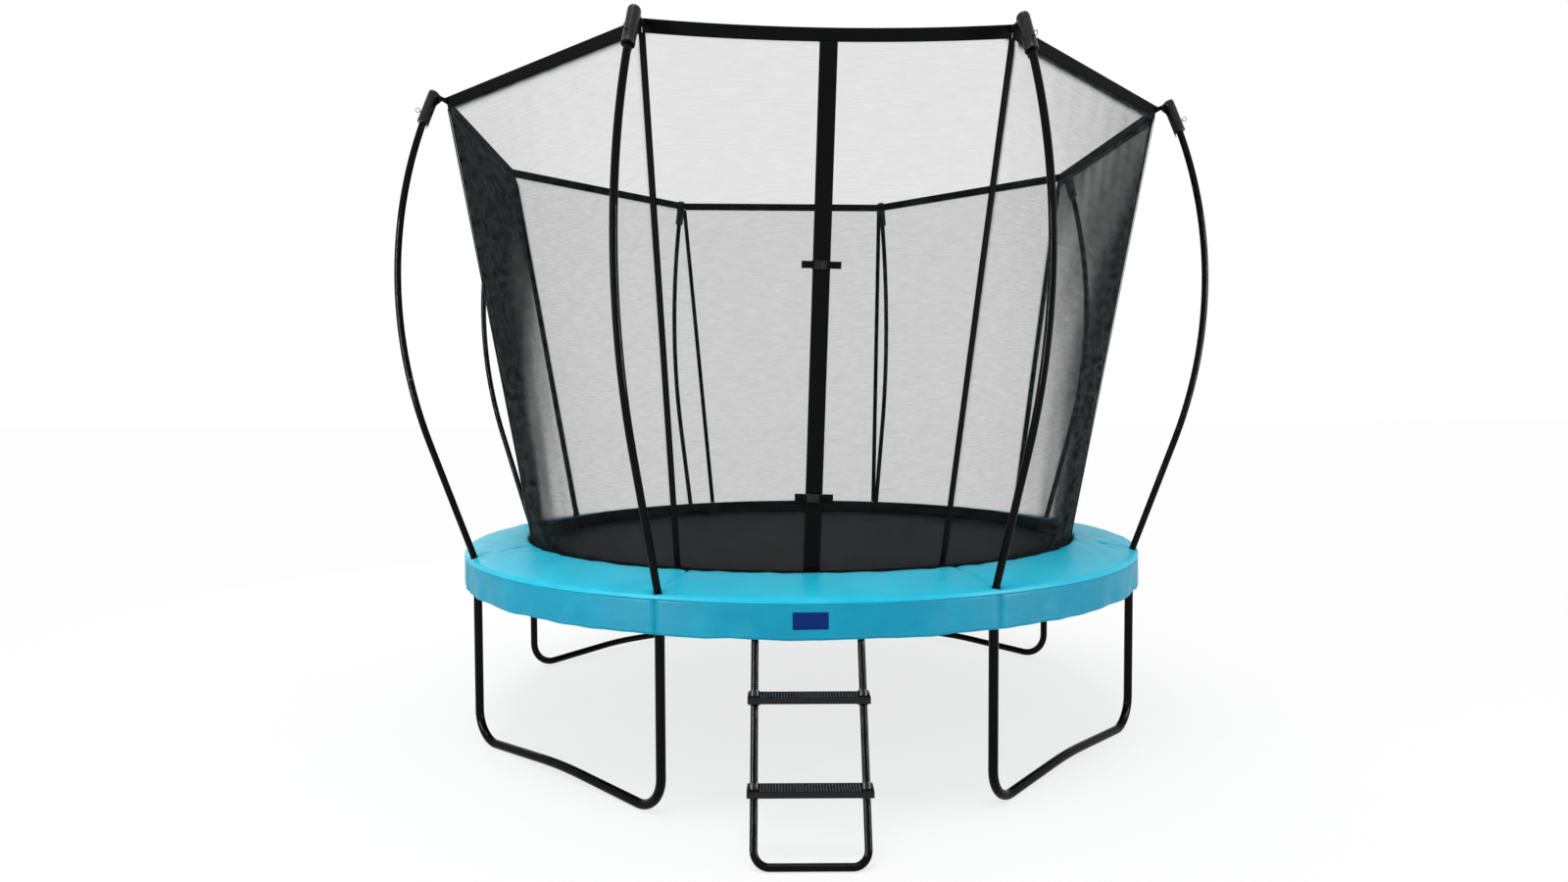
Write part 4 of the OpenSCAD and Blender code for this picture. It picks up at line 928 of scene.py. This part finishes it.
def padSection(i):
    loop = padProfile()
    length = math.radians(ring["step"]) * ring["radius"]
    gaps = [0.0001, 0.002, 0.0045, 0.008, 0.0125, 0.018, 0.025, 0.034, 0.045, 0.06, 0.08, 0.105, 0.135, 0.17, 0.21,
            0.255, 0.305, 0.36, 0.42, 0.48, 0.54]
    stations = gaps + [length / 2] + [length - g for g in reversed(gaps)]
    lean = math.tan(math.radians(pad["lean"]))
    girth, total = [0.0], 0.0
    for k in range(1, len(loop)):
        total += math.dist(loop[k], loop[k - 1])
        girth.append(total)
    verts, uvs, faces = [], [], []
    for s in stations:
        near = min(s, length - s)
        pinch = math.exp(-near / 0.010)
        for k, (r, z) in enumerate(loop):
            high = smooth((z - 0.7816) / 0.006) * smooth((1.566 - r) / 0.02)
            along = s + 1.2 * i
            wave = 0.0011 * math.sin(31 * along + 9 * r * 6) + 0.0009 * math.sin(57 * along - 31 * r + i) \
                + 0.0012 * math.sin(17 * along + 2.3 * i) * math.sin(40 * r + i)
            pull = 0.0014 * math.sin(90 * r + 3 * i) * math.exp(-near / 0.05)
            z2 = z + high * (wave + pull - 0.0055 * pinch)
            r2 = r + (0.0022 * pinch if r < 1.284 else 0) \
                + (0.0009 * math.sin(23 * along) if r < 1.29 and z > 0.775 else 0)
            poleAt = ring["radius"] + (z - ring["height"]) * lean
            reach = pad["hole"] ** 2 - ((r - poleAt) * math.cos(math.radians(pad["lean"]))) ** 2
            notch = math.sqrt(max(0, reach)) * max(0, 1 - near / 0.06)
            s2 = s + notch if s < length / 2 else s - notch
            verts.append(onRing(r2, postAngle(i) + math.degrees(s2 / ring["radius"]), z2))
            uvs.append((along, girth[k]))
    count = len(loop)
    for c in range(len(stations) - 1):
        for k in range(count):
            a, b = c * count + k, c * count + (k + 1) % count
            faces.append((a, a + count, b + count, b))
    faces.append(tuple(range(count)))
    faces.append(tuple((len(stations) - 1) * count + k for k in range(count))[::-1])
    return place("padPart", verts, faces, vinylTop, uvs=uvs)


padSections = joined("padSections", [padSection(i) for i in range(1, 9)])
faceOut(padSections)
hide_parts("pad_covers", "pad_foams")
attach(padSections, "frame")

skirt = dict(radius=1.5612, top=0.7692, bottom=0.648, thickness=0.0014, patchTurn=-2.7,
             patchWide=0.12, patchTall=0.057, patchHeight=0.713)


def skirtPoint(angle, z, out=0.0):
    # hangs from the pad's edge, in shallow folds that open towards its hem
    drop = (skirt["top"] - z) / (skirt["top"] - skirt["bottom"])
    i = math.floor(angle / ring["step"] + 0.5)
    near = abs((angle / ring["step"] + 0.5) % 1 - 0.5)
    near = (0.5 - near) * 1.2
    fold = 0.0030 * math.sin(angle * 0.61 + i) + 0.0019 * math.sin(angle * 1.13 + 2 * i) \
        + 0.0006 * math.sin(angle * 3.1)
    fold *= 1 - math.exp(-near / 0.06)
    r = skirt["radius"] + out + smooth(drop * 1.2) * (fold + 0.0012) - 0.0016 * math.exp(-near / 0.012) * drop
    sag = (0.0019 * math.sin(angle * 0.43 + 1.3 * i) + 0.0006 * math.sin(angle * 1.3)) * (1 - math.exp(-near / 0.06))
    return onRing(r, angle, z + sag * smooth(drop * 1.1 - 0.1))


def skirtPart(i):
    points, outs, maps = [], [], []
    trim = math.degrees(0.00008 / skirt["radius"])
    columns, rows = 60, 12
    for c in range(columns + 1):
        angle = postAngle(i) + trim + (ring["step"] - 2 * trim) * c / columns
        column, normal, uv = [], [], []
        for r in range(rows + 1):
            z = skirt["top"] + (skirt["bottom"] - skirt["top"]) * r / rows
            column.append(skirtPoint(angle, z))
            normal.append(-outwardAt(column[-1]))
            uv.append((math.radians(angle) * skirt["radius"], z))
        points.append(column)
        outs.append(normal)
        maps.append(uv)
    return sheetPiece("skirtPart", points, outs, skirt["thickness"], shadedVinylSkirt, maps)


def skirtSewing(name, sectors):
    lines, normals = [], []
    for i in sectors:
        for z in (skirt["bottom"] + 0.012, skirt["top"] - 0.004):
            line = [skirtPoint(postAngle(i) + 0.3 + (ring["step"] - 0.6) * k / 60, z, 0.0009) for k in range(61)]
            lines.append(line)
            normals.append([outwardAt(p) for p in line])
    return stitches(name, lines, normals, 0.0075, (0.005, 0.0009, 0.0006), topThread)


def skirtWeight(p):
    # 1 where the ladder's rails push the cloth out, 0 at its sewn top and towards the poles
    angle = math.degrees(math.atan2(p.x, -p.y))
    across = abs(math.radians(angle - ladderTurn)) * skirt["radius"]
    return smooth((0.770 - p.z) / 0.085) * smooth((0.50 - across) / 0.27)


padSkirts = joined("padSkirts", [skirtPart(i) for i in range(1, 8)])
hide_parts("pad_skirts")
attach(padSkirts, "frame")
skirtStitches = skirtSewing("skirtStitches", range(1, 8))
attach(skirtStitches, "frame")

doorSkirt = skirtPart(0)
doorSkirt.name = "doorSkirt"
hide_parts("door_skirt")
weighBlend(doorSkirt, skirtWeight)
doorStitches = skirtSewing("doorSkirtStitches", [0])
weighBlend(doorStitches, skirtWeight)


def makePatch():
    points, outs, maps = [], [], []
    turn = math.degrees(skirt["patchWide"] / 2 / skirt["radius"])
    for c in range(17):
        angle = skirt["patchTurn"] - turn + 2 * turn * c / 16
        column, normal, uv = [], [], []
        for r in range(9):
            z = skirt["patchHeight"] + skirt["patchTall"] * (0.5 - r / 8)
            edge = min(c, 16 - c, 2 * r, 2 * (8 - r)) / 16
            column.append(skirtPoint(angle, z, 0.0013 + 0.0006 * smooth(edge * 5)))
            normal.append(-outwardAt(column[-1]))
            uv.append((math.radians(angle) * skirt["radius"], z))
        points.append(column)
        outs.append(normal)
        maps.append(uv)
    return sheetPiece("skirtPatch", points, outs, 0.0008, label, maps)


patch = makePatch()
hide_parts("skirt_patch")
weighBlend(patch, skirtWeight)
print("pad and skirts sewn")

# pole caps: a hood that is highest on its outer side, with a blade in to the net's corner

cap = dict(tipRadius=1.66569, tipHeight=2.70693, tilt=20.607, low=-0.133, bore=0.0142)


def capFrame(i):
    return Matrix.Rotation(math.radians(postAngle(i) - 90), 4, "Z") \
        @ Matrix.Translation((cap["tipRadius"], 0, cap["tipHeight"])) \
        @ Matrix.Rotation(-math.radians(cap["tilt"]), 4, "Y")


def beakReach(z):
    # how far in the blade stands at a height on the cap
    if z > 0.002:
        return 0.035 - 0.017 * smooth((z - 0.002) / 0.010)
    if z > -0.012:
        return 0.035
    return 0.035 - 0.014 * smooth((-0.012 - z) / 0.036)


def capShape(capAt):
    offsets = [0, 3, 6, 8, 10, 13, 17, 22, 30, 42, 58, 76, 96, 118, 140, 160]
    turns = [-o for o in reversed(offsets[1:])] + offsets + [180]
    levels = [(cap["low"], 0.0232), (-0.1315, 0.0238), (-0.1275, 0.0238), (-0.1255, 0.0231), (-0.11, 0.023),
              (-0.085, 0.023), (-0.06, 0.023), (-0.05, 0.023), (-0.042, 0.023), (-0.034, 0.023), (-0.026, 0.023),
              (-0.018, 0.023), (-0.012, 0.023), (-0.007, 0.023), (-0.003, 0.0229), (0.0005, 0.0225), (0.004, 0.0214),
              (0.007, 0.0194), (0.0095, 0.0164),
              (0.0112, 0.012), (0.0119, 0.006)]
    verts, faces = [], []
    verts.append(Vector((0, 0, cap["low"] + 0.02)))
    rings = [[Vector((cap["bore"] * -math.cos(math.radians(t)), cap["bore"] * math.sin(math.radians(t)), z))
              for t in turns] for z in (cap["low"] + 0.02, cap["low"] + 0.0004)]
    for z, radius in levels:
        loop = []
        reach = beakReach(z) * (radius / 0.023 if z > 0.004 else 1)
        for t in turns:
            r = radius
            if reach > radius:
                r = reach + (radius - reach) * smooth((abs(t) - 6.0) / 14.0)
            x, y = -r * math.cos(math.radians(t)), r * math.sin(math.radians(t))
            loop.append(Vector((x, y, z + smooth((z + 0.02) / 0.03) * x * 0.09)))
        rings.append(loop)
    for loop in rings:
        verts += loop
    verts.append(Vector((0, 0, 0.0124)))
    count = len(turns)
    for k in range(count):
        faces.append((0, 1 + (k + 1) % count, 1 + k))
    for j in range(len(rings) - 1):
        for k in range(count):
            a, b = 1 + j * count + k, 1 + j * count + (k + 1) % count
            faces.append((a, b, b + count, a + count))
    top = 1 + (len(rings) - 1) * count
    for k in range(count):
        faces.append((top + k, top + (k + 1) % count, len(verts) - 1))
    return [capAt @ v for v in verts], faces


def tongueShape(capAt):
    # a small lip below the cap's inner side
    section = [(-0.0036, -0.0218), (0.0036, -0.0218), (0.0036, -0.0190), (-0.0036, -0.0190)]
    stops = [(-0.1475, 0.55), (-0.1465, 0.9), (-0.143, 1), (-0.127, 1)]
    verts = [capAt @ Vector((x, y * f, z)) for z, f in stops for y, x in section]
    faces = [(4 * j + k, 4 * j + (k + 1) % 4, 4 * j + 4 + (k + 1) % 4, 4 * j + 4 + k)
             for j in range(3) for k in range(4)]
    return verts, faces + [(3, 2, 1, 0), (12, 13, 14, 15)]


def lugShape(capAt):
    path = [capAt @ Vector((0.026 + 0.0028 * math.cos(a), 0.0028 * math.sin(a), -0.091))
            for a in [2 * math.pi * k / 14 for k in range(14)]]
    return tubeMesh(path, 0.0013, 8, True)


capShapes = []
for i in range(1, 9):
    capShapes += [capShape(capFrame(i)), tongueShape(capFrame(i)), lugShape(capFrame(i))]
caps = gather("poleCaps", capShapes, plastic)
faceOut(caps)
caps.data.set_sharp_from_angle(angle=math.radians(55))
boxMap(caps)
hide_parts("pole_caps")
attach(caps, "frame")

sleeve = dict(steps=6, sides=12, outerTop=(-0.031, 0.003), outerFoot=(-0.031, -0.014), innerTop=(-0.047, 0.008),
              innerFoot=(-0.060, -0.015), outerHalf=0.0046, innerHalf=0.0120)


def sleeveShape(capAt):
    # a folded tape that widens from the cap's blade to the net's corner
    verts, faces = [], []
    sides = sleeve["sides"]
    for j in range(sleeve["steps"] + 1):
        t = j / sleeve["steps"]
        top = Vector(sleeve["outerTop"]).lerp(Vector(sleeve["innerTop"]), t)
        foot = Vector(sleeve["outerFoot"]).lerp(Vector(sleeve["innerFoot"]), t)
        half = sleeve["outerHalf"] + (sleeve["innerHalf"] - sleeve["outerHalf"]) * t ** 1.4
        pinch = 0.0014 * math.sin(math.pi * t)
        for k in range(sides):
            a = 2 * math.pi * k / sides
            up = math.copysign(abs(math.cos(a)) ** 0.6, math.cos(a))
            mid = (top + foot) / 2 + (top - foot) / 2 * up * (1 - pinch / 0.012)
            verts.append(capAt @ Vector((mid.x, half * math.copysign(abs(math.sin(a)) ** 0.6, math.sin(a)), mid.y)))
    for j in range(sleeve["steps"]):
        for k in range(sides):
            a, b = j * sides + k, j * sides + (k + 1) % sides
            faces.append((a, b, b + sides, a + sides))
    last = sleeve["steps"] * sides
    return verts, faces + [tuple(range(sides))[::-1], tuple(range(last, last + sides))]


webbing = softened("corner_webbing", "cornerLoops", tape, 0.0005, 1)
sleeves = gather("cornerSleeves", [sleeveShape(capFrame(i)) for i in range(1, 9)], tape)
faceOut(sleeves)
boxMap(sleeves)
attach(sleeves, "frame")
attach(webbing, "frame")
print("caps made")

# finishes of the solids that stay

finishOf = {"leg_screws": zinc, "cap_rings": darkZinc,
            "ladder_step_upper": treads["upper"], "ladder_step_lower": treads["lower"]}
for name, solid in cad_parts.items():
    if solid.hide_render:
        continue
    finish = finishOf.get(name, enamel)
    solid.data.materials.clear()
    solid.data.materials.append(finish)

# floor, daylight and softboxes

studio = dict(sky=0.56, sun=1.22, sunSpread=30, floor="#FFFFFF", floorGlow=0.76, floorHalf=60, strip=(0.08, 2.6),
              stripHeight=1.9, stripAim=1.4, stripPower=36, shinePower=260)


def seenShare(tree):
    # 1 for what the eye sees, straight, mirrored or refracted, 0 for the light that falls on the object
    rays = addNode(tree, "ShaderNodeLightPath").outputs
    bounced = addNode(tree, "ShaderNodeMath", {"operation": "MAXIMUM"}, {
        0: rays["Is Glossy Ray"], 1: rays["Is Transmission Ray"]})
    return addNode(tree, "ShaderNodeMath", {"operation": "MAXIMUM"}, {0: rays["Is Camera Ray"], 1: bounced})


def makeFloor():
    half, z = studio["floorHalf"], -0.0006
    floor = place("studioFloor", [(-half, -half, z), (half, -half, z), (half, half, z), (-half, half, z)],
                  [(0, 1, 2, 3)], None, True)
    # matt white paint roller-finished on a board: even, with a barely visible stipple; the eye sees it glow a little
    material, tree, where, _ = newMaterial("mattWhiteFloor")
    speckle = addNode(tree, "ShaderNodeTexNoise", links={"Vector": where, "Scale": 1000 / 6})
    tint = addNode(tree, "ShaderNodeMix", {"data_type": "RGBA"}, {
        0: speckle, 6: fromHex("#FDFDFD"), 7: fromHex(studio["floor"])})
    shader = addNode(tree, "ShaderNodeBsdfPrincipled", links={
        "Base Color": tint.outputs[2], "Roughness": 0.9, "Specular IOR Level": 0.2})
    seen = seenShare(tree)
    share = addNode(tree, "ShaderNodeMath", {"operation": "MULTIPLY"}, {0: seen, 1: studio["floorGlow"]})
    white = addNode(tree, "ShaderNodeEmission", links={"Color": (1, 1, 1, 1), "Strength": 1.0})
    both = addNode(tree, "ShaderNodeMixShader", links={0: share, 1: shader, 2: white})
    addNode(tree, "ShaderNodeOutputMaterial", links={"Surface": both})
    floor.data.materials[0] = material


def makeSky():
    world = bpy.data.worlds.new("whiteStudio")
    scene.world = world
    world.use_nodes = True
    tree = world.node_tree
    seen = seenShare(tree)
    level = addNode(tree, "ShaderNodeMapRange", links={"Value": seen, "To Min": studio["sky"], "To Max": 1.0})
    tree.nodes["Background"].inputs["Color"].default_value = (1, 1, 1, 1)
    tree.links.new(level.outputs[0], tree.nodes["Background"].inputs["Strength"])


def makeStrip(name, x, y, power):
    data = bpy.data.lights.new(name, "AREA")
    data.shape = "RECTANGLE"
    data.size, data.size_y = studio["strip"]
    data.energy = power
    strip = bpy.data.objects.new(name, data)
    strip.location = (x, y, studio["stripHeight"])
    strip.rotation_euler = (Vector((0, 0, studio["stripAim"])) - strip.location).to_track_quat("-Z", "Y").to_euler()
    scene.collection.objects.link(strip)
    return strip


def makeLamps():
    data = bpy.data.lights.new("highSoftbox", "SUN")
    data.energy = studio["sun"]
    data.angle = math.radians(studio["sunSpread"])
    lamp = bpy.data.objects.new("highSoftbox", data)
    lamp.rotation_euler = (math.radians(10), math.radians(-6), 0)
    scene.collection.objects.link(lamp)
    for x, y, share in ((-3.6, -3.9, 1.0), (3.9, -3.4, 0.5), (-3.4, 3.8, 0.5)):
        makeStrip("tallStrip", x, y, studio["stripPower"] * share)
    for x, y in ((-3.6, -3.7), (3.9, -3.2)):
        # these only draw the thin highlights along the tubes
        makeStrip("shineStrip", x, y, studio["shinePower"]).visible_diffuse = False


makeFloor()
makeSky()
makeLamps()
scene.view_settings.view_transform = "Standard"

print("scene ready")
